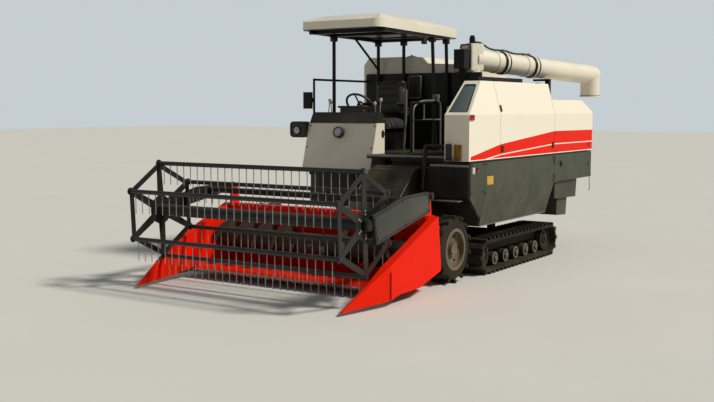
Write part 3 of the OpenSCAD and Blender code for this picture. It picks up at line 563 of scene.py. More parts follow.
def rubber(name, colour, mud=0.7, low=0.7):
    material, tree, shader = blank_material(name)
    spot = object_place(tree)
    patch = ramp(tree, noise(tree, spot, 7.0, 5.0, 0.65), 0.3, 0.75)
    base = mixed(tree, maths(tree, "MULTIPLY", patch, 0.4), colour, tint(58, 51, 40))
    dusty = dusted(tree, base, mud, low, tint(84, 70, 50))[0]
    rough = maths(tree, "MULTIPLY_ADD", patch, 0.15, 0.78)
    feed(tree, shader, Base_Color=dusty, Roughness=rough, Specular_IOR_Level=0.2)
    grain = maths(tree, "MULTIPLY_ADD", noise(tree, spot, 22.0, 4.0), 3.0, noise(tree, spot, 190.0, 3.0))
    add_bump(tree, shader, grain, 0.5, 0.0016)
    return material


def bare_metal(name, colour, rough=0.35, dirt=0.35, metallic=1.0):
    material, tree, shader = blank_material(name)
    brushed = noise(tree, stretched(tree, object_place(tree), 140.0, 6.0, 140.0), 1.0, 3.0)
    dusty, mask = dusted(tree, colour, dirt, 0.9, tint(88, 72, 54))
    uneven = maths(tree, "MULTIPLY_ADD", brushed, 0.25, rough - 0.1)
    feed(tree, shader, Base_Color=dusty, Metallic=maths(tree, "SUBTRACT", metallic, mask, clamp=True),
         Roughness=dulled(tree, mask, 0.4, uneven))
    add_bump(tree, shader, brushed, 0.15, 0.0006)
    return material


# Black bar with pale spring tines: the bar is what lies close to its own axis
def tine_finish(number, x, z):
    material, tree, shader = blank_material(f"tine_bar_finish_{number}")
    spot = object_place(tree)
    place = taken_apart(tree, spot)
    aside = maths(tree, "POWER", maths(tree, "SUBTRACT", place["X"], x), 2.0)
    above = maths(tree, "POWER", maths(tree, "SUBTRACT", place["Z"], z), 2.0)
    away = maths(tree, "GREATER_THAN", maths(tree, "ADD", aside, above), 0.0235 ** 2)
    grime = ramp(tree, noise(tree, spot, 30.0, 4.0), 0.35, 0.8)
    pale = mixed(tree, maths(tree, "MULTIPLY", grime, 0.5), tint(150, 152, 150), tint(92, 84, 70))
    both = mixed(tree, away, tint(24, 26, 28), pale)
    worn = scuffed(tree, both, tint(120, 118, 112), 0.3, 14.0)[0]
    dusty, mask = dusted(tree, worn, 0.12, 0.5)
    feed(tree, shader, Base_Color=dusty, Metallic=maths(tree, "MULTIPLY", away, 0.3),
         Roughness=dulled(tree, mask, 0.5, 0.34))
    add_bump(tree, shader, grime, 0.2, 0.0008)
    return material


def moulded(name, colour, rough=0.5, dust=0.3):
    material, tree, shader = blank_material(name)
    dusty, mask = dusted(tree, colour, dust, 1.0)
    feed(tree, shader, Base_Color=dusty, Roughness=dulled(tree, mask, 0.4, rough))
    add_bump(tree, shader, noise(tree, object_place(tree), 320.0, 2.0), 0.3, 0.0006)
    return material


# Grained vinyl of the seat, with soft creases
def seat_vinyl():
    material, tree, shader = blank_material("seat_vinyl_grain")
    spot = object_place(tree)
    cells = add(tree, "ShaderNodeTexVoronoi", feature="DISTANCE_TO_EDGE")
    feed(tree, cells, Vector=spot, Scale=260.0)
    dusty = dusted(tree, tint(38, 38, 41), 0.22, 1.0)[0]
    shine = ramp(tree, noise(tree, spot, 5.0, 3.0), 0.3, 0.7)
    feed(tree, shader, Base_Color=dusty, Roughness=maths(tree, "MULTIPLY_ADD", shine, 0.16, 0.42))
    grain = ramp(tree, cells.outputs[0], 0.0, 0.12)
    creases = maths(tree, "MULTIPLY_ADD", noise(tree, spot, 9.0, 3.0), 5.0, grain)
    add_bump(tree, shader, creases, 0.35, 0.0010)
    return material


def lens_ribs(tree, scale):
    ribs = add(tree, "ShaderNodeTexWave", wave_type="BANDS", bands_direction="Y")
    return feed(tree, ribs, Vector=object_place(tree), Scale=scale).outputs["Fac"]


def lamp_glass(name, colour, rough):
    material, tree, shader = blank_material(name)
    feed(tree, shader, Base_Color=colour, Roughness=rough, Transmission_Weight=0.85, IOR=1.47)
    add_bump(tree, shader, lens_ribs(tree, 42.0), 0.3, 0.0015)
    return material


def reflector_lens():
    material, tree, shader = blank_material("work_lamp_lens")
    ribs = lens_ribs(tree, 34.0)
    # Pale and grey-blue bands across the ribs are painted reflection of the lamp's reflector
    painted_reflection_bands = mixed(tree, ribs, tint(120, 132, 142), tint(206, 216, 222))
    dusty, mask = dusted(tree, painted_reflection_bands, 0.2, 1.0)
    feed(tree, shader, Base_Color=dusty, Roughness=dulled(tree, mask, 0.5, 0.06), Coat_Weight=1.0,
         Coat_Roughness=0.04)
    add_bump(tree, shader, ribs, 0.35, 0.0015)
    return material


def window_glass():
    material, tree, shader = blank_material("window_glass")
    dusty, mask = dusted(tree, tint(70, 92, 96), 0.35, 1.0)
    feed(tree, shader, Base_Color=dusty, Roughness=dulled(tree, mask, 0.6, 0.08), Specular_IOR_Level=0.7)
    add_bump(tree, shader, noise(tree, object_place(tree), 3.0, 2.0), 0.05, 0.002)
    return material


def dress(piece, material, body):
    piece.data.materials.clear()
    piece.data.materials.append(material)
    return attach(piece, body)


# Joins the parts to one piece, gives it its finish and lets it ride on a body
def fit(name, parts, material, body):
    return dress(joined(name, parts), material, body)


def paint_node(names, material):
    for name in names:
        mesh = nodes[name].data
        mesh.materials.clear()
        mesh.materials.append(material)


cream_paint = painted("cream_paint", CREAM, gloss=0.30, dust=0.30, low=1.5, wear=0.10)
striped_paint = painted("striped_cover_paint", CREAM, gloss=0.34, dust=0.10, low=1.3, wear=0.06, coat=0.0,
                        paint_source=stripe_paint, fade=0.0, shine=0.08)
# Olive covers: their dark brown dust, heavy below 1.12 m, is partly grime and partly painted shade on the
# tucked lower half
olive_paint_low_shade = painted("olive_cover_paint_low_shade", OLIVE, gloss=0.34, dust=0.95, low=1.12, wear=0.14, coat=0.15,
                      under=tint(108, 106, 96), dust_and_shade_colour=tint(50, 46, 28))
header_red = painted("header_red_paint", RED, gloss=0.36, dust=0.16, low=0.35, wear=0.26, coat=0.0,
                     under=tint(110, 44, 30), dust_and_shade_colour=tint(112, 50, 26), fade=0.0, shine=0.08)
black_paint = painted("black_frame_paint", FRAME_BLACK, gloss=0.42, dust=0.34, low=1.0, wear=0.22,
                      under=tint(98, 92, 84), coat=0.1, fade=0.02)
cab_black = painted("cab_black_paint", tint(12, 13, 14), gloss=0.30, dust=0.12, low=1.2, wear=0.12,
                    under=tint(120, 118, 112), coat=0.15, fade=0.02)
reel_black = painted("reel_black_paint", tint(24, 27, 28), gloss=0.32, dust=0.12, low=0.5, wear=0.34,
                     under=tint(128, 126, 120), coat=0.15, wear_scale=14.0, fade=0.03)
outlet_paint = painted("outlet_sheet_paint", tint(58, 60, 54), gloss=0.45, dust=0.30, low=0.9, wear=0.25,
                       under=tint(120, 116, 104), coat=0.05)
auger_paint = painted("auger_paint", tint(44, 38, 34), gloss=0.38, dust=0.25, low=0.6, wear=0.5,
                      under=tint(150, 142, 128), coat=0.05, dust_and_shade_colour=tint(120, 84, 52), wear_scale=12.0)
rim_paint = painted("rim_cream_paint", tint(112, 102, 84), gloss=0.5, dust=1.0, low=0.9, wear=0.4,
                    dust_and_shade_colour=tint(92, 78, 58))
under_paint = painted("underbody_paint", tint(26, 26, 26), gloss=0.6, dust=0.5, low=0.9, wear=0.3,
                      under=tint(80, 70, 58), dust_and_shade_colour=tint(84, 70, 52), coat=0.0)
tyre_rubber = rubber("tyre_rubber", tint(22, 20, 18), 0.34, 0.75)
belt_rubber = rubber("belt_rubber", tint(20, 18, 17), 0.36, 0.5)
roller_steel = bare_metal("roller_face", tint(118, 112, 100), 0.5, 0.5, 0.7)
steel = bare_metal("worn_steel", tint(150, 148, 142), 0.42, 0.45)
chrome = bare_metal("hard_chrome", tint(196, 197, 199), 0.32, 0.25)
iron = bare_metal("engine_iron_cast", tint(80, 84, 84), 0.62, 0.7, 0.6)
black_plastic = moulded("black_plastic", tint(27, 27, 29), 0.46, 0.35)
seal_rubber = moulded("seal_rubber", tint(18, 18, 19), 0.6, 0.3)
yellow_plate = painted("blank_yellow_plate", tint(205, 160, 28), gloss=0.35, dust=0.45, low=1.5, wear=0.2)
amber_plate = painted("blank_amber_plate", tint(160, 116, 24), gloss=0.35, dust=0.5, low=1.5, wear=0.2)
vinyl = seat_vinyl()
red_lens = lamp_glass("red_lens", tint(196, 26, 18), 0.12)
amber_lens = lamp_glass("amber_lens", tint(220, 120, 20), 0.12)
pane = window_glass()
work_lens = reflector_lens()
pale_plastic = moulded("pale_plastic", tint(196, 192, 182), 0.4, 0.25)
# Mid grey for the pipes beside the seat and the control box rim; on the pipes it is painted highlight in
# place of the sheen on dark pipe
pipe_sheen_grey = painted("pipe_sheen_grey_paint", tint(110, 112, 112), gloss=0.28, dust=0.18, low=1.2, wear=0.3,
                    under=tint(60, 58, 54), coat=0.2)
shield_paint = painted("reel_shield_paint", tint(56, 61, 58), gloss=0.34, dust=0.22, low=0.8, wear=0.3,
                       under=tint(120, 118, 110), coat=0.1)
mirror_face = bare_metal("mirror_face", tint(200, 205, 208), 0.10, 0.10)

paint_node(["upper_cover_front", "upper_cover_rear", "side_door"], striped_paint)
paint_node(["grain_tank", "console", "canopy_roof", "unload_tube"], cream_paint)
paint_node(["lower_cover_front", "lower_cover_main", "right_cover", "rear_door"], olive_paint_low_shade)
paint_node(["header_frame", "divider_left", "divider_right"], header_red)
paint_node(["reel_arms", "reel_spider"], reel_black)
paint_node(["deck", "canopy_posts", "handrails", "bulkhead", "seat_base", "auger_riser"], cab_black)
paint_node(["chassis_frame", "front_axle", "track_frame_left", "track_frame_right", "lift_barrel"],
           under_paint)
paint_node(["thresher_body", "feeder_house"], black_paint)
paint_node(["straw_outlet"], outlet_paint)
paint_node(["header_auger"], auger_paint)
paint_node(["tyre_left", "tyre_right"], tyre_rubber)
paint_node(["track_left", "track_right"], belt_rubber)
paint_node(["rim_left", "rim_right"], rim_paint)
paint_node(["knuckle_left", "knuckle_right", "tie_rod", "cutterbar"], steel)
for i, (x, _, z) in enumerate(ring_spots(REEL_X, 0, REEL_Z, TINE_BAR_REACH, 6, FIRST_TINE_BAR), 1):
    paint_node([f"tine_bar_{i}"], tine_finish(i, x, z))
paint_node(["lift_rod"], chrome)
paint_node(["engine"], iron)
paint_node(["dash", "lamps"], black_plastic)
paint_node(["seat_cushion", "seat_back"], vinyl)


# A flat piece from an outline, extruded and set on any face
def on_face(origin, across, up, out):
    across, up, out = (Vector(v).normalized() for v in (across, up, out))
    turn = Matrix((across, up, out)).transposed().to_4x4()
    return Matrix.Translation(origin) @ turn


def outline_plate(name, outline, thickness, place, edge, dish=0.0, border=0.02):
    deselect()
    bpy.ops.mesh.primitive_circle_add(vertices=len(outline), radius=1, fill_type="NGON")
    piece = name_it(name)
    for vertex, (u, v) in zip(piece.data.vertices, outline):
        vertex.co = (u, v, 0)
    edit_all(piece)
    bpy.ops.mesh.extrude_region_move(TRANSFORM_OT_translate={"value": (0, 0, thickness)})
    if dish:
        bpy.ops.mesh.inset(thickness=border, depth=0)
        bpy.ops.mesh.inset(thickness=abs(dish), depth=dish)
    bpy.ops.mesh.select_all(action="SELECT")
    bpy.ops.mesh.normals_make_consistent(inside=False)
    leave_edit()
    finish_with(piece, "BEVEL", width=edge, segments=2, limit_method="ANGLE")
    piece.matrix_world = place
    settle(piece)
    face_outwards(piece)
    return smooth(piece)


# Corner points of a rounded rectangle
def rounded_outline(low, high, corner, steps=5):
    points = []
    for cx, cy, start in (
        (high[0] - corner, high[1] - corner, 0), (low[0] + corner, high[1] - corner, 90),
        (low[0] + corner, low[1] + corner, 180), (high[0] - corner, low[1] + corner, 270),
    ):
        for k in range(steps + 1):
            angle = math.radians(start + 90 * k / steps)
            points.append((cx + corner * math.cos(angle), cy + corner * math.sin(angle)))
    return points


def oval(wide, high, count=28):
    return [(wide * math.cos(a), high * math.sin(a)) for a in (math.tau * k / count for k in range(count))]


# A closed rim bead that follows an outline on a face
def rim_bead(name, outline, radius, place, height=0.0):
    piece = bar_along(name, [(u, v, height) for u, v in outline], radius, 3, True)
    piece.matrix_world = place
    settle(piece)
    return smooth(piece, 50)


def left_face(x, z, y):
    return on_face((x, y, z), (-1, 0, 0), (0, 0, 1), (0, 1, 0))


def front_face(y, z, x):
    return on_face((x, y, z), (0, 1, 0), (0, 0, 1), (1, 0, 0))


def top_face(x, y, z):
    return on_face((x, y, z), (0, 1, 0), (1, 0, 0), (0, 0, 1))


# Seat pads: blown up by cloth, sewn into channels, edged with piping
PAD_MESH_SIZE = 0.0085
PAD_PRESSURE = 4.0
PAD_MOMENTS = 20
PAD_QUALITY = 4


def sewn_lines(piece, lines, width, depth, outward):
    way = Vector(outward)
    for vertex in piece.data.vertices:
        if vertex.normal.dot(way) < 0.25:
            continue
        sink = 0.0
        for axis, value, low, high in lines:
            other = 1 - axis if way.z else (2 if axis == 1 else 1)
            if not low <= vertex.co[other] <= high:
                continue
            sink = max(sink, math.exp(-(((vertex.co[axis] - value) / width) ** 2)))
        vertex.co -= way * depth * sink


def stuffed_pad(name, low, high, corner, rest, cap):
    shell = rounded_box(name, low, high, corner, 5)
    finish_with(shell, "REMESH", mode="VOXEL", voxel_size=PAD_MESH_SIZE)
    pick(shell)
    start = [vertex.co.copy() for vertex in shell.data.vertices]
    pinned = shell.vertex_groups.new(name="held")
    pinned.add([i for i, co in enumerate(start) if rest(co)], 1.0, "REPLACE")
    cloth = shell.modifiers.new("Cloth", "CLOTH")
    cloth.settings.use_pressure = True
    cloth.settings.uniform_pressure_force = PAD_PRESSURE
    cloth.settings.effector_weights.gravity = 0.0
    cloth.settings.vertex_group_mass = "held"
    cloth.settings.quality = PAD_QUALITY
    scene = bpy.context.scene
    for moment in range(1, PAD_MOMENTS + 1):
        scene.frame_set(moment)
    bpy.ops.object.modifier_apply(modifier=cloth.name)
    scene.frame_set(1)
    for vertex, before in zip(shell.data.vertices, start):
        moved = vertex.co - before
        if moved.length > cap:
            vertex.co = before + moved.normalized() * cap
    shell.vertex_groups.clear()
    finish_with(shell, "SUBSURF", levels=1, render_levels=1)
    return smooth(shell, 80)


def make_seat():
    base = stuffed_pad(
        "seat_base_pad", (-0.560, -0.786, 1.448), (-0.112, -0.354, 1.548), 0.034,
        lambda co: co.z < 1.455, 0.024,
    )
    rows = [(0, -0.48 + 0.085 * k, -0.72, -0.42) for k in range(5)]
    sides = [(1, y, -0.55, -0.12) for y in (-0.722, -0.418)]
    sewn_lines(base, rows + sides, 0.0065, 0.009, (0, 0, 1))
    dress(base, vinyl, "root")
    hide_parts("seat_cushion")
    back = stuffed_pad(
        "seat_back_pad", (-0.592, -0.772, 1.594), (-0.516, -0.368, 2.016), 0.034,
        lambda co: co.x < -0.586, 0.022,
    )
    rows = [(2, 1.66 + 0.085 * k, -0.71, -0.43) for k in range(4)]
    sides = [(1, y, 1.61, 1.96) for y in (-0.712, -0.428)]
    sewn_lines(back, rows + sides, 0.0065, 0.008, (1, 0, 0))
    dress(back, vinyl, "root")
    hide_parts("seat_back")
    edge = rounded_outline((-0.556, -0.782), (-0.116, -0.358), 0.05)
    piping = rim_bead("seat_piping", edge, 0.0045, Matrix.Translation((0, 0, 1.455)))
    shell = rounded_box("seat_back_shell", (-0.6, -0.765, 1.60), (-0.586, -0.375, 2.0), 0.012, 3)
    arm_sides = (-0.800, -0.340)
    rails = [rounded_box(f"seat_rail_{i}", (-0.53, y, 1.4402), (-0.15, y + 0.03, 1.4485), 0.002)
             for i, y in enumerate((-0.70, -0.47))]
    arms = [bent_tube(f"arm_rest_bar_{i}", [(-0.585, y, 1.60), (-0.585, y, 1.72), (-0.30, y, 1.72)], 0.011)
            for i, y in enumerate(arm_sides)]
    grips = [rounded_box(f"arm_rest_{i}", (-0.56, y - 0.022, 1.722), (-0.29, y + 0.022, 1.748), 0.010, 4)
             for i, y in enumerate(arm_sides)]
    bellows = turned("seat_bellows", [
        (0.0, 0.0), (0.135, 0.0), (0.150, 0.012), (0.135, 0.024), (0.150, 0.036), (0.135, 0.048),
        (0.150, 0.060), (0.135, 0.072), (0.15, 0.084), (0.13, 0.095), (0.0, 0.095),
    ], (-0.34, -0.57, 1.344), steps=28)
    fit("seat_trim", [piping, shell] + grips + [bellows], black_plastic, "root")
    fit("seat_metal", rails + arms, steel, "root")


make_seat()


# Canopy: black lining with ribs, edge seal, drip rail, hung lamp and post clamps
def make_canopy_trim():
    tilted = Matrix.Translation((-0.88, 0, 2.515)) @ Matrix.Rotation(-ROOF_SLOPE, 4, "Y")
    roof = tilted @ Matrix.Translation((0.88, 0, 0))
    inner = rounded_outline((-1.094, -0.954), (0.654, 0.014), 0.08)
    lining = outline_plate("canopy_lining", inner, 0.010, roof @ Matrix.Translation((0, 0, 0.002)),
                           0.002, -0.006, 0.06)
    ribs = []
    for x in (-0.66, -0.22, 0.22):
        rib = rounded_box(f"lining_rib_{x}", (x - 0.02, -0.93, -0.010), (x + 0.02, -0.01, 0.003), 0.003)
        rib.matrix_world = roof
        ribs.append(settle(rib))
    fit("canopy_lining", [lining] + ribs, cab_black, "root")
    outer = rounded_outline((-1.122, -0.982), (0.682, 0.042), 0.102, 8)
    seal = rim_bead("canopy_edge_seal", outer, 0.0065, roof @ Matrix.Translation((0, 0, 0.0015)))
    dress(seal, seal_rubber, "root")
    brim = rounded_outline((-1.128, -0.988), (0.688, 0.048), 0.108, 8)
    drip = rim_bead("canopy_drip_rail", brim, 0.003, roof @ Matrix.Translation((0, 0, 0.024)))
    dress(drip, cream_paint, "root")
    lamp = [
        rounded_box("hung_lamp_box", (-0.335, 0.000, 2.405), (-0.275, 0.052, 2.465), 0.010, 3),
        rounded_box("hung_lamp_arm", (-0.318, 0.018, 2.46), (-0.292, 0.034, 2.505), 0.003),
    ]
    fit("canopy_lamp", lamp, black_plastic, "root")
    post_tops = (
        (0.1, -0.93, 2.494), (-0.48, 0.034, 2.487), (-0.812, 0.034, 2.481), (-0.812, -0.9, 2.481),
        (-0.812, -0.54, 2.481),
    )
    clamps = []
    for i, (x, y, z) in enumerate(post_tops):
        low, high = (x - 0.03, y - 0.034, z - 0.05), (x + 0.03, y + 0.034, z + 0.006)
        clamps.append(rounded_box(f"post_clamp_{i}", low, high, 0.004))
    fit("post_clamps", clamps, cab_black, "root")


make_canopy_trim()


# Lamps, mirror, reflectors and rear lights
def lamp_face(name, centre, axis, radius, lens_material):
    ring = turned(name + "_bezel", [
        (radius * 0.80, 0.0), (radius * 0.80, 0.010), (radius * 0.86, 0.016), (radius * 0.98, 0.013),
        (radius, 0.004), (radius, 0.0),
    ], centre, axis, 36)
    lens = turned(name + "_lens", [
        (radius * 0.84, 0.002), (radius * 0.78, 0.009), (radius * 0.5, 0.014), (radius * 0.2, 0.0165),
        (0.0, 0.017),
    ], centre, axis, 36)
    dress(lens, lens_material, "root")
    return ring


def make_lamps():
    way = Vector((0.9636, 0, 0.2672))
    console_lamp = Vector((0.421, -0.632, 1.410)) + way * 0.0395
    rings = [
        lamp_face("console_lamp", console_lamp, way, 0.0615, work_lens),
        lamp_face("side_lamp", (0.4495, -1.205, 1.434), (1, 0, 0), 0.052, work_lens),
    ]
    fit("lamp_bezels", rings, black_plastic, "root")
    bright = lamp_face("tower_lamp", (0.8035, 0.95, 1.68), (1, 0, 0), 0.030, work_lens)
    dress(bright, chrome, "root")
    rim = rim_bead("side_lamp_rim", rounded_outline((-0.10, -0.078), (0.10, 0.080), 0.04), 0.005,
                   front_face(-1.192, 1.442, 0.4505))
    dress(rim, black_plastic, "root")
    glass = outline_plate("mirror_glass", rounded_outline((-0.052, -0.082), (0.052, 0.082), 0.016), 0.003,
                          on_face((0.2905, -1.151, 1.773), (0, -1, 0), (0, 0, 1), (-1, 0, 0)), 0.001)
    dress(glass, mirror_face, "root")
    front = rounded_box("front_reflector", (0.872, COVER_SIDE, 1.568), (0.966, 1.262, 1.622), 0.004, 3)
    dress(front, red_lens, "root")
    for i, (z, body) in enumerate(((1.235, "root"), (1.0, "rear_door"))):
        low, high = (-2.33, COVER_SIDE, z - 0.02), (-2.27, 1.258, z + 0.02)
        dress(rounded_box(f"rear_reflector_{i}", low, high, 0.003), red_lens, body)
    rear = []
    for side, x, y in (("left", -2.4, 0.98), ("right", -2.33, -1.02)):
        low, high = (x - 0.03, y - 0.09, 1.22), (x + 0.004, y + 0.09, 1.30)
        rear.append(rounded_box(f"rear_light_box_{side}", low, high, 0.008, 3))
        for light, start, end, lens in (
            ("rear_light", -0.082, 0.01, red_lens), ("turn_light", 0.014, 0.082, amber_lens),
        ):
            low, high = (x - 0.036, y + start, 1.227), (x - 0.028, y + end, 1.293)
            dress(rounded_box(f"{light}_{side}", low, high, 0.003), lens, "root")
    fit("rear_light_boxes", rear, black_plastic, "root")


make_lamps()


# Window, plates, latches, hinges and folds of the left covers
def make_cover_details():
    lean = math.atan2(0.42, 0.34)
    outward = Vector((math.cos(lean), 0, math.sin(lean)))
    upward = Vector((-math.sin(lean), 0, math.cos(lean)))
    corner = Vector((0.97, 0, 1.62)) - outward * 0.0138
    recess = [(1.004, 0.058), (1.012, 0.046), (1.196, 0.046), (1.205, 0.056), (1.134, 0.466), (1.122, 0.484),
              (1.012, 0.484), (1.004, 0.472)]
    place = on_face(corner, (0, 1, 0), upward, outward)
    pane_piece = outline_plate("window_pane", recess, 0.005, place, 0.001)
    dress(pane_piece, pane, "root")
    seal = rim_bead("window_seal", recess, 0.006, place, 0.006)
    dress(seal, seal_rubber, "root")
    plate = rounded_box("yellow_plate", (0.424, COVER_SIDE, 0.918), (0.568, 1.2535, 1.004), 0.0015)
    dress(plate, yellow_plate, "root")
    louvre = [rounded_box("amber_ribs_0", (TOWER_FRONT, 1.088, 1.192), (0.979, 1.168, 1.332), 0.003)]
    for i in range(1, 5):
        y = 1.078 + 0.022 * i
        louvre.append(rounded_box(f"amber_ribs_{i}", (0.975, y, 1.196), (0.990, y + 0.008, 1.328), 0.003))
    fit("amber_louvre", louvre, amber_plate, "root")
    bracket = rounded_box("louvre_bracket", (TOWER_FRONT, 1.012, 1.186), (1.012, 1.064, 1.338), 0.006)
    tail = rounded_box("bracket_foot", (TOWER_FRONT, 0.995, 1.176), (1.03, 1.17, 1.188), 0.003)
    fit("louvre_bracket", [bracket, tail], black_plastic, "root")
    white = rounded_box("marker_white", (0.84, COVER_SIDE, 1.044), (0.896, 1.256, 1.108), 0.003)
    dress(white, pale_plastic, "root")
    red_part = rounded_box("marker_red", (0.748, COVER_SIDE, 1.044), (0.824, 1.255, 1.100), 0.003)
    dress(red_part, red_lens, "root")
    latch = rounded_box("rear_door_latch", (-1.422, COVER_SIDE, 1.012), (-1.366, 1.262, 1.076), 0.005, 3)
    pull = rounded_box("rear_door_pull", (-1.410, 1.2600, 1.022), (-1.378, 1.270, 1.046), 0.004, 3)
    fit("rear_door_latch", [latch, pull], black_plastic, "rear_door")
    stay = bent_tube("rear_door_stay", [(-2.362, 1.236, 0.846), (-2.366, 1.238, 0.76), (-2.384, 1.236, 0.70),
                                        (-2.372, 1.234, 0.655)], 0.004, 0.03)
    dress(stay, seal_rubber, "rear_door")
    side_latches = []
    for x in (0.215, -1.13):
        low, high = (x - 0.024, 1.2495, 1.235), (x + 0.024, 1.262, 1.30)
        side_latches.append(rounded_box(f"side_latch_{x}", low, high, 0.004, 3))
    place_high = on_face((0.235, 1.2335, 1.683), (-1, 0, 0), (0, -0.2559, 0.9667), (0, 0.9667, 0.2559))
    split = rounded_outline((-0.016, -0.035), (0.016, 0.035), 0.008)
    side_latches.append(outline_plate("split_latch", split, 0.010, place_high, 0.002))
    fit("side_door_latches", side_latches, black_plastic, "side_door")
    # Each barrel turns about its own joint's line and so rides on its door
    hinge_places = (-0.95, -0.46, 0.05)
    barrels = [round_pin(f"roof_hinge_{x}", 0.010, 0.05, (x, 1.13, 1.96), (1, 0, 0), 14)
               for x in hinge_places]
    fit("roof_hinges", barrels, black_plastic, "side_door")
    leaves = [rounded_box(f"hinge_leaf_{x}", (x - 0.045, 1.06, 1.9605), (x + 0.045, 1.117, 1.9645), 0.001)
              for x in hinge_places]
    fit("roof_hinge_leaves", leaves, black_plastic, "root")
    knuckles = [round_pin(f"rear_hinge_{z}", 0.009, 0.035, (-1.183, 1.25, z), (0, 0, 1), 14)
                for z in (0.90, 1.08)]
    fit("rear_door_hinges", knuckles, black_plastic, "rear_door")
    sill = [bent_tube("lower_sill", [(-1.075, 1.190, 0.503), (0.612, 1.190, 0.503)], 0.005, 0),
            bent_tube("front_sill", [(0.626, 1.192, 0.592), (0.922, 1.2485, 0.806)], 0.004, 0)]
    fit("cover_sill", sill, steel, "root")
    waist = bent_tube("waist_rail", [(-2.385, 1.244, 1.159), (0.938, 1.244, 1.159)], 0.0055, 0)
    dress(waist, cab_black, "root")
    cover_spots = [(x, 1.25, z) for x, z in (
        (0.90, 0.86), (0.66, 0.86), (0.90, 1.13), (0.66, 1.13), (0.59, 1.128), (-1.14, 1.128), (0.59, 0.84),
        (-1.14, 0.86),
    )]
    cover_bolts = bolts("cover_bolts", cover_spots, (0, 1, 0), 0.009, 0.005)
    dress(cover_bolts, black_plastic, "root")
    flap_spots = [(-1.22, 1.25, 1.12), (-2.34, 1.25, 1.12), (-2.34, 1.25, 0.87)]
    flap_bolts = bolts("rear_door_bolts", flap_spots, (0, 1, 0), 0.009, 0.005)
    dress(flap_bolts, black_plastic, "rear_door")


make_cover_details()


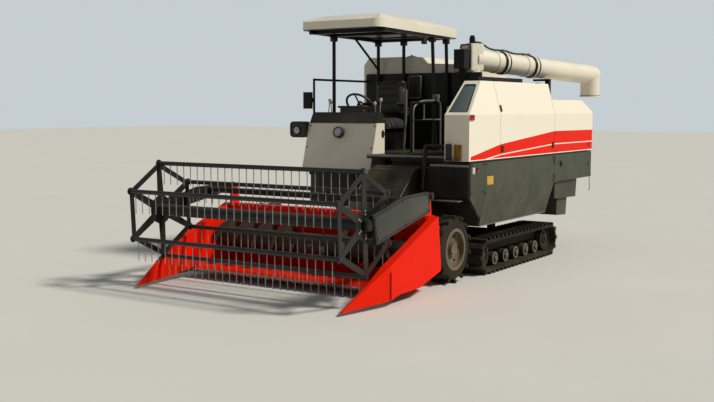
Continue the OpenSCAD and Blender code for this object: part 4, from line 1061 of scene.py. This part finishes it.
# Console, dash, levers, pedals, deck mats and the pipes beside the seat
def make_cab_details():
    side = outline_plate("console_vent", oval(0.030, 0.045), 0.005, left_face(0.268, 1.402, -0.1652), 0.002)
    dress(side, black_plastic, "root")
    front = Vector((0.9635, 0, 0.2676))
    seams = [
        bent_tube("console_fold_low", [(0.5335, -1.070, 1.0), (0.5335, -0.170, 1.0)], 0.003, 0),
        bent_tube("console_fold_top", [(0.3925, -1.074, 1.515), (0.3925, -0.166, 1.515)], 0.0035, 0),
    ]
    fit("console_folds", seams, cream_paint, "root")
    spots = []
    for y in (-1.05, -0.19):
        for t in (0.06, 0.5, 0.94):
            spots.append(Vector((0.54 - 0.15 * t, y, 0.98 + 0.54 * t)))
    dress(bolts("console_bolts", spots, front, 0.008, 0.004), steel, "root")
    cluster = rounded_box("gauge_cluster", (0.20, -0.72, 1.60), (0.30, -0.40, 1.70), 0.018, 4)
    hood = rounded_box("gauge_hood", (0.215, -0.74, 1.688), (0.315, -0.38, 1.712), 0.010, 3)
    switch_box = rounded_box("switch_box", (0.12, -1.04, 1.515), (0.245, -0.80, 1.60), 0.014, 3)
    tray = rounded_box("dash_tray", (0.14, -0.36, 1.515), (0.245, -0.19, 1.575), 0.014, 3)
    fit("dash_boxes", [cluster, hood, switch_box, tray], black_plastic, "root")
    dial_radius = 0.034
    face = [(0.0, 0.004), (dial_radius * 0.86, 0.004), (dial_radius * 0.9, 0.008), (dial_radius, 0.006),
            (dial_radius, 0.0)]
    dials = [turned(f"dial_{i}", face, (0.2005, y, 1.65), (-1, 0, 0), 24)
             for i, y in enumerate((-0.645, -0.56, -0.475))]
    fit("dials", dials, pale_plastic, "root")
    levers, knobs = [], []
    knob = [(0, -0.018), (0.010, -0.016), (0.019, 0.004), (0.017, 0.018), (0.008, 0.027), (0, 0.028)]
    for i, (x, y, lean_x, tall) in enumerate((
        (0.19, -0.95, -0.03, 0.17), (0.19, -0.90, 0.02, 0.15), (0.17, -0.27, -0.03, 0.20),
        (0.17, -0.31, 0.03, 0.16),
    )):
        foot = Vector((x, y, 1.57 if y > -0.5 else 1.595))
        head = foot + Vector((lean_x, 0, tall))
        levers.append(bent_tube(f"lever_{i}", [foot, head], 0.006, 0))
        knobs.append(turned(f"knob_{i}", knob, head, head - foot, 18))
    fit("levers", levers, chrome, "root")
    fit("lever_knobs", knobs, pale_plastic, "root")
    ring_tilt = math.radians(47)
    wheel_axis = Vector((-math.sin(ring_tilt), 0, math.cos(ring_tilt)))
    boss = turned("steering_boss", [(0, 0.012), (0.030, 0.012), (0.042, 0.020), (0.036, 0.030), (0, 0.034)],
                  (0.12, -0.56, 1.72), wheel_axis, 26)
    gaiter = turned("column_gaiter", [
        (0.0, 0.0), (0.06, 0.0), (0.05, 0.012), (0.056, 0.024), (0.042, 0.036), (0.048, 0.048), (0.03, 0.062),
        (0.0, 0.064),
    ], (0.238, -0.56, 1.612), (-0.735, 0, 0.678), 26)
    fit("steering_trim", [boss, gaiter], black_plastic, "root")
    pedals = []
    for i, y in enumerate((-0.78, -0.42, -0.32)):
        low, high = (0.150, y - 0.035, 1.255), (0.165, y + 0.035, 1.355)
        pedals.append(rounded_box(f"pedal_pad_{i}", low, high, 0.005, 3))
        pedals.append(bent_tube(f"pedal_arm_{i}", [(0.162, y, 1.30), (0.232, y, 1.30)], 0.008, 0))
    fit("pedals", pedals, seal_rubber, "root")
    mats, mat_ribs = [], []
    for name, end, right, left, count in (("floor", 0.20, -1.04, 0.05, 25), ("side", 0.56, 0.16, 0.93, 18)):
        mats.append(rounded_box(f"{name}_mat", (-0.78, right, DECK_TOP), (end, left, 1.1965), 0.002))
        rib = rounded_box(f"{name}_rib", (-0.77, -0.009, 1.196), (end - 0.01, 0.009, 1.1995), 0.001)
        moves = [Matrix.Translation((0, right + 0.02 + 0.0425 * k, 0)) for k in range(count)]
        mat_ribs.append(repeated(f"{name}_ribs", rib, moves))
    fit("deck_mats", mats + mat_ribs, seal_rubber, "root")
    # Bare steel strips on the deck, side, front and step edges: partly worn metal and partly painted
    # highlight along those edges
    edges = [
        rounded_box("deck_edge", (0.5995, -0.15, 1.172), (0.6055, 0.905, 1.196), 0.002),
        rounded_box("deck_side_edge", (0.235, -1.103, 1.165), (-0.87, -1.0995, 1.189), 0.001),
        rounded_box("low_front_edge", (0.9302, 0.80, 1.112), (0.939, 1.235, 1.134), 0.002),
        rounded_box("step_plate", (0.9302, 0.90, 0.775), (1.035, 1.17, 0.787), 0.003),
    ]
    fit("worn_and_highlight_edges", edges, steel, "root")
    box = rounded_box("control_box", (-0.851, -0.470, 1.80), (-0.800, -0.295, 2.07), 0.012, 3)
    dress(box, black_plastic, "root")
    box_edge = rounded_outline((-0.085, -0.130), (0.085, 0.130), 0.02)
    platform = [(-0.30, -0.235, 1.202), (-0.30, -0.205, 1.60), (-0.30, -0.205, 1.90)]
    inner = [(0.03, 0.080, 1.20), (0.03, 0.080, 1.70), (-0.14, 0.080, 1.765), (-0.60, 0.080, 1.775),
             (-0.60, 0.080, 1.2)]
    # The grey on these pipes is painted highlight for the sheen on dark pipe
    greys = [
        rim_bead("control_box_rim", box_edge, 0.008, front_face(-0.3825, 1.935, -0.800)),
        bent_tube("platform_pipe", platform, 0.015, 0.1),
        bent_tube("inner_rail", inner, 0.012, 0.10),
        bent_tube("middle_rail", [(-0.17, 0.080, 1.553), (-0.60, 0.080, 1.553)], 0.010, 0),
        bent_tube("short_post", [(-0.215, 0.080, 1.553), (-0.215, 0.080, 1.745)], 0.009, 0),
    ]
    fit("pipe_sheen_greys", greys, pipe_sheen_grey, "root")
    joint = rounded_box("post_joint", (-0.502, 0.045, 1.78), (-0.458, 0.125, 1.84), 0.008, 3)
    dress(joint, pipe_sheen_grey, "root")
    plates = []
    for name, right, left, top, rise in (
        ("door", -0.93, -0.50, 1.76, -0.004), ("plate", -0.20, 0.45, 1.78, 0.005),
    ):
        low, high = (-0.8505, right, 1.26), (-0.838, left, top)
        plates.append(pressed_plate(f"bulkhead_{name}", low, high, (1, 0, 0), 0.03, rise))
    fit("bulkhead_plates", plates, cab_black, "root")


make_cab_details()


# Grain tank: filler cap, lid edges, ribs and sight plate
def make_tank_details():
    cap = turned("tank_cap", [
        (0, 0.0), (0.060, 0.0), (0.062, 0.018), (0.052, 0.030), (0.018, 0.034), (0.014, 0.046), (0, 0.047),
    ], (-1.28, -0.70, 2.2995), steps=30)
    dress(cap, black_plastic, "root")
    beads = [
        bent_tube("lid_edge_front", [(-0.883, -1.075, 2.296), (-0.883, -0.42, 2.296)], 0.006, 0),
        bent_tube("lid_edge_rear", [(-2.327, -1.075, 2.296), (-2.327, -0.42, 2.296)], 0.006, 0),
        bent_tube("lid_side", [(-0.89, -1.147, 2.208), (-2.32, -1.147, 2.208)], 0.006, 0),
    ]
    for x in (-1.2, -1.6, -2.0):
        beads.append(rounded_box(f"lid_rib_{x}", (x - 0.02, -1.06, 2.2995), (x + 0.02, -0.44, 2.308), 0.004))
        beads.append(rounded_box(f"wall_rib_{x}", (x - 0.02, -1.157, 1.25), (x + 0.02, -1.1495, 2.17), 0.004))
    fit("tank_beads", beads, cream_paint, "root")
    low, high = (-1.5, -1.156, 1.75), (-1.3, -1.1495, 1.95)
    sight = pressed_plate("tank_sight_plate", low, high, (0, -1, 0), 0.02, 0.003)
    dress(sight, black_plastic, "root")


make_tank_details()


# Unloading auger: gearbox cover, clamps, motor, flanges, spout lip and the hose's fittings
def make_auger_details():
    along = (AUGER_END - AUGER_PIVOT).normalized()
    dress(auger_hose, seal_rubber, "unload")
    faced = math.radians(-24)
    out = Vector((math.cos(faced), math.sin(faced), 0))
    across = Vector((-math.sin(faced), math.cos(faced), 0))
    face = on_face(Vector((-1.010, 0.275, 2.28)) + out * 0.0998, across, (0, 0, 1), out)
    cover = rounded_outline((-0.076, -0.125), (0.076, 0.125), 0.018)
    plate = outline_plate("gearbox_cover", cover, 0.009, face, 0.003, -0.004, 0.02)
    dress(plate, cream_paint, "unload")
    rim = rounded_outline((-0.090, -0.142), (0.090, 0.142), 0.022)
    seal = rim_bead("gearbox_seal", rim, 0.008, face, 0.002)
    band = [(0.1235, -0.012), (0.1345, -0.012), (0.1365, -0.008), (0.1365, 0.008), (0.1345, 0.012),
            (0.1235, 0.012)]
    bands = [turned(f"clamp_{place}", band, AUGER_PIVOT + along * place, along, 40) for place in CLAMP_PLACES]
    motor = turned("auger_motor", [
        (0, 0), (0.048, 0), (0.048, 0.012), (0.034, 0.016), (0.034, 0.075), (0.026, 0.082), (0.026, 0.10),
        (0, 0.102),
    ], (-1.010, 0.275, 2.434), steps=26)
    fit("auger_bands", [seal] + bands + [motor], cab_black, "unload")
    flange = [(0.1235, -0.016), (0.139, -0.016), (0.139, 0.016), (0.1235, 0.016)]
    flanges = [turned(f"flange_{place}", flange, AUGER_PIVOT + along * place, along, 40)
               for place in FLANGE_PLACES]
    fit("tube_flanges", flanges, cream_paint, "unload")
    corner_spots = [face @ Vector((u, v, 0.008)) for u in (-0.066, 0.066) for v in (-0.115, 0, 0.115)]
    dress(bolts("gearbox_bolts", corner_spots, out, 0.007, 0.005), steel, "unload")
    lip = turned("spout_lip", [
        (0.1085, 0.0), (0.1315, 0.0), (0.1318, 0.004), (0.1318, 0.016), (0.1312, 0.020),
    ], (-3.030, 0.978, 1.8300), steps=40)
    dress(lip, seal_rubber, "unload")
    hose_end = hose_points[-1] - (hose_points[-1] - hose_points[-2]).normalized() * 0.012
    fitting = turned("hose_fitting", [
        (0, 0), (0.017, 0), (0.017, 0.03), (0.013, 0.034), (0.013, 0.05), (0, 0.05),
    ], hose_end, along, 18)
    clips = []
    for place in (0.494, 0.877):
        clip = rounded_box(f"hose_clip_{place}", (-0.012, -0.018, -0.016), (0.012, 0.018, 0.014), 0.003)
        spot = min(hose_points, key=lambda p: abs((p - AUGER_PIVOT).dot(along) - place))
        clip.matrix_world = Matrix.Translation(spot) @ along.to_track_quat("X", "Z").to_matrix().to_4x4()
        clips.append(settle(clip))
    fit("hose_fittings", [fitting] + clips, steel, "unload")
    aside = Vector((0, 0, 1)).cross(along).normalized()
    up = along.cross(aside)
    flange_spots = []
    for place in FLANGE_PLACES:
        for k in range(8):
            turn = math.tau * k / 8 + 0.2
            reach = (aside * math.cos(turn) + up * math.sin(turn)) * 0.1325
            flange_spots.append(AUGER_PIVOT + along * (place - 0.017) + reach)
    dress(bolts("flange_bolts", flange_spots, -along, 0.005, 0.004), steel, "unload")


make_auger_details()


# Header: knife, guards, divider edges, skids, reel caps, reel shield, ribs and bolts
def make_header_details():
    knife_pitch = 0.076
    tooth = [(-0.036, 0), (0.036, 0), (0.008, 0.072), (-0.008, 0.072)]
    section = outline_plate("knife_pattern", tooth, 0.003, top_face(2.226, 0, 0.0842), 0.0008)
    moves = [Matrix.Translation((0, -1.14 + knife_pitch * k, 0)) for k in range(31)]
    dress(repeated("knife_sections", section, moves), steel, "header")
    finger = [(-0.014, 0), (0.014, 0), (0.010, 0.06), (0.002, 0.115), (-0.002, 0.115), (-0.010, 0.06)]
    guard = outline_plate("guard_pattern", finger, 0.016, top_face(2.196, 0, 0.0675), 0.002)
    moves = [Matrix.Translation((0, -1.178 + knife_pitch * k, 0)) for k in range(32)]
    dress(repeated("knife_guards", guard, moves), auger_paint, "header")
    edges = []
    for name, side in SIDES:
        edges.append(bent_tube(f"divider_ridge_{name}", [
            (3.022, side * 1.157, 0.036), (2.46, side * 1.2755, 0.3495), (1.634, side * 1.2755, 0.696),
            (1.575, side * 1.2755, 0.24)], 0.004, 0.01))
        edges.append(bent_tube(f"divider_keel_{name}", [
            (3.020, side * 1.150, 0.036), (2.46, side * 1.27, 0.058), (2.29, side * 1.27, 0.090),
            (1.97, side * 1.27, 0.094), (1.59, side * 1.27, 0.192)], 0.004, 0.01))
    fit("divider_edges", edges, header_red, "header")
    skids = []
    for name, side in SIDES:
        skid_y, bracket_y = side * 1.215, side * 1.262
        low, high = (1.98, skid_y - 0.028, 0.060), (2.42, skid_y + 0.028, 0.080)
        skids.append(rounded_box(f"skid_{name}", low, high, 0.006, 3))
        low, high = (2.462, bracket_y - 0.006, 0.052), (2.474, bracket_y + 0.006, 0.33)
        skids.append(rounded_box(f"slot_bracket_{name}", low, high, 0.002))
    fit("skids", skids, under_paint, "header")
    divider_spots = [(x, 1.2778, z) for x, z in (
        (1.62, 0.24), (1.62, 0.60), (1.85, 0.54), (2.05, 0.42), (2.25, 0.33), (2.05, 0.13), (1.72, 0.18),
        (2.40, 0.14),
    )]
    divider_bolts = bolts("divider_bolts_left", divider_spots, (0, 1, 0), 0.010, 0.0005)
    dress(divider_bolts, header_red, "header")
    reel_cap = [(0, 0), (0.048, 0), (0.052, 0.006), (0.050, 0.018), (0.03, 0.026), (0, 0.028)]
    pivot_cap = [(0, 0), (0.026, 0), (0.028, 0.005), (0.022, 0.014), (0, 0.016)]
    hubs = []
    for name, side in SIDES:
        hubs.append(turned(f"reel_cap_{name}", reel_cap, (REEL_X, side * 1.201, REEL_Z), (0, side, 0), 30))
        hubs.append(turned(f"pivot_cap_{name}", pivot_cap, (1.62, side * 1.2035, 0.88), (0, side, 0), 24))
    fit("reel_caps", hubs, reel_black, "reel_arms")
    spider_spots = []
    for reach in (0.085, 0.115):
        spider_spots += ring_spots(REEL_X, 1.1685, REEL_Z, reach, 6, FIRST_TINE_BAR)
    dress(bolts("spider_bolts", spider_spots, (0, 1, 0), 0.009, 0.006), steel, "reel")
    shield_spots = [(x, 1.236, z) for x, z in (
        (2.60, 0.60), (2.64, 0.76), (2.20, 0.885), (1.79, 0.905), (1.75, 0.77), (2.15, 0.675),
    )]
    shield_bolts = bolts("shield_bolts", shield_spots, (0, 1, 0), 0.009, 0.005)
    dress(shield_bolts, reel_black, "reel_arms")
    fold = [(2.672, 0.795), (2.612, 0.552), (1.708, 0.750), (1.757, 0.928), (2.163, 0.914)]
    bead = rim_bead("shield_rim", [(-x, z) for x, z in fold], 0.0045, left_face(0, 0, 1.2345))
    middle = [(2.654, 0.781), (2.602, 0.576), (1.728, 0.765), (1.770, 0.910), (2.156, 0.896)]
    panel = outline_plate("shield_panel", [(-x, z) for x, z in middle], 0.003, left_face(0, 0, 1.2362),
                          0.001, 0.003, 0.03)
    fit("reel_shield", [bead, panel], shield_paint, "reel_arms")
    back = []
    for y in (-0.95, -0.6, -0.25, 0.85, 1.05):
        back.append(rounded_box(f"back_rib_{y}", (1.5725, y - 0.018, 0.20), (1.580, y + 0.018, 0.60), 0.003))
        back.append(rounded_box(f"rear_rib_{y}", (1.5525, y - 0.018, 0.20), (1.5605, y + 0.018, 0.68), 0.003))
    fit("header_ribs", back, header_red, "header")
    beads = []
    for name, y in (("left", 0.672), ("right", 0.148)):
        edge = [(0.89, y, 1.098), (1.01, y, 1.068), (1.555, y, 0.602)]
        beads.append(bent_tube(f"feeder_edge_{name}", edge, 0.006, 0.02))
    beads.append(rounded_box("feeder_flange", (1.535, 0.135, 0.16), (1.5595, 0.685, 0.63), 0.004))
    fit("feeder_beads", beads, cab_black, "header")


make_header_details()


# Wheel hubs and nuts, roller caps and the bolts of the tracks' end wheels
def make_running_gear():
    hub_shape = [(0, 0.0), (0.060, 0.0), (0.064, 0.010), (0.058, 0.030), (0.034, 0.046), (0.012, 0.05),
                 (0, 0.05)]
    for name, side in SIDES:
        body = f"wheel_{name}"
        hub = turned(f"{body}_hub", hub_shape, (WHEEL_X, side * 1.128, WHEEL_Z), (0, side, 0), 30)
        dress(hub, rim_paint, body)
        nuts = ring_spots(WHEEL_X, side * 1.129, WHEEL_Z, 0.088, 6)
        dress(bolts(f"{body}_nuts", nuts, (0, side, 0), 0.011, 0.014), steel, body)
    cap = turned("roller_cap", [
        (0, 0.012), (0.014, 0.012), (0.024, 0.008), (0.028, 0.0), (0.028, -0.012), (0.044, -0.012),
        (0.046, -0.007), (0.066, -0.007), (0.068, -0.012),
    ], (0, 0, 0), (0, 1, 0), 26)
    places = [Matrix.Translation((-0.83 + 0.26 * i, 1.190, 0.127)) for i in range(5)]
    mirror = Matrix.Scale(-1, 4, (0, 1, 0))
    caps = repeated("roller_caps", cap, places + [mirror @ place for place in places])
    face_outwards(caps)
    dress(caps, roller_steel, "root")
    for name, side in SIDES:
        spots = []
        for x in (-1.12, 0.50):
            spots += ring_spots(x, side * 1.160, 0.19, 0.082, 8)
        dress(bolts(f"end_wheel_bolts_{name}", spots, (0, side, 0), 0.008, 0.008), steel, "root")


make_running_gear()


# Right side and rear: panels, handles, hinges, muffler, hitch pin and hatch
def make_right_and_rear():
    frame_bars = []
    for name, x0, x1, z0, z1 in (
        ("low", -0.80, 0.16, 0.596, 0.624), ("high", -0.80, 0.16, 1.106, 1.134),
        ("front", 0.118, 0.148, 0.60, 1.13), ("rear", -0.79, -0.76, 0.60, 1.13),
    ):
        frame_bars.append(rounded_box(f"bay_frame_{name}", (x0, -1.2345, z0), (x1, -1.2265, z1), 0.003))
    for x0, x1 in ((-2.28, -1.56), (-1.50, -0.84)):
        low, high = (x0, -1.236, 0.62), (x1, -1.229, 1.10)
        frame_bars.append(pressed_plate(f"right_panel_{x0}", low, high, (0, -1, 0), 0.04, 0.004))
    fit("right_panels", frame_bars, olive_paint_low_shade, "root")
    fittings = []
    for x in (-1.62, -0.90, 0.10):
        grip = [(x, y, z) for y, z in ((-1.234, 0.98), (-1.262, 0.98), (-1.262, 0.88), (-1.234, 0.88))]
        fittings.append(bent_tube(f"right_handle_{x}", grip, 0.006, 0.015))
    fittings += [round_pin(f"right_hinge_{x}_{z}", 0.008, 0.03, (x, -1.238, z), (0, 0, 1), 32)
                 for x in (-2.29, -0.83) for z in (0.7, 1.02)]
    fittings.append(turned("muffler", [
        (0, 0), (0.05, 0.0), (0.07, 0.02), (0.07, 0.36), (0.05, 0.38), (0.028, 0.39), (0.028, 0.50),
        (0.024, 0.50), (0.024, 0.40), (0, 0.40),
    ], (-0.30, -1.02, 0.70), (1, 0, 0), 30))
    fit("right_fittings", fittings, black_plastic, "root")
    pin = turned("hitch_pin", [(0, 0), (0.012, 0), (0.012, 0.11), (0.024, 0.112), (0.024, 0.122), (0, 0.124)],
                 (-2.36, 0, 0.462), steps=20)
    dress(pin, steel, "root")
    hatch = pressed_plate("rear_hatch", (-2.4105, 0.30, 1.24), (-2.3995, 0.86, 1.60), (-1, 0, 0), 0.04, 0.004)
    dress(hatch, cream_paint, "root")
    low, high = (-2.338, -1.08, 1.42), (-2.3295, -0.06, 2.1)
    tank_rear = pressed_plate("tank_rear_plate", low, high, (-1, 0, 0), 0.05, 0.004)
    dress(tank_rear, cream_paint, "root")


make_right_and_rear()


# Floor and soft light
def make_floor_and_light():
    deselect()
    bpy.ops.mesh.primitive_plane_add(size=120, location=(0, 0, -0.001))
    floor = name_it("floor")
    settle(floor)
    material, tree, shader = blank_material("pale_floor")
    cloud = noise(tree, object_place(tree), 0.6, 3.0)
    feed(tree, shader, Base_Color=mixed(tree, cloud, tint(203, 201, 194), tint(210, 208, 202)), Roughness=0.9)
    floor.data.materials.append(material)
    sun_data = bpy.data.lights.new("soft_sun", "SUN")
    sun_data.energy = 3.25
    sun_data.angle = math.radians(9)
    sun_data.color = (1.0, 0.95, 0.87)
    sun = into_scene(bpy.data.objects.new("soft_sun", sun_data))
    sun.rotation_mode = "QUATERNION"
    sun.rotation_quaternion = Vector((0.22, -0.69, -0.74)).to_track_quat("-Z", "Y")
    world = bpy.data.worlds.new("pale_studio")
    world.use_nodes = True
    background = world.node_tree.nodes["Background"]
    background.inputs[0].default_value = (0.80, 0.88, 0.92, 1)
    seen = add(world.node_tree, "ShaderNodeLightPath").outputs["Is Camera Ray"]
    strength = maths(world.node_tree, "MULTIPLY_ADD", seen, 0.42, 0.28)
    world.node_tree.links.new(strength, background.inputs[1])
    bpy.context.scene.world = world
    bpy.context.scene.view_settings.view_transform = "Standard"


make_floor_and_light()
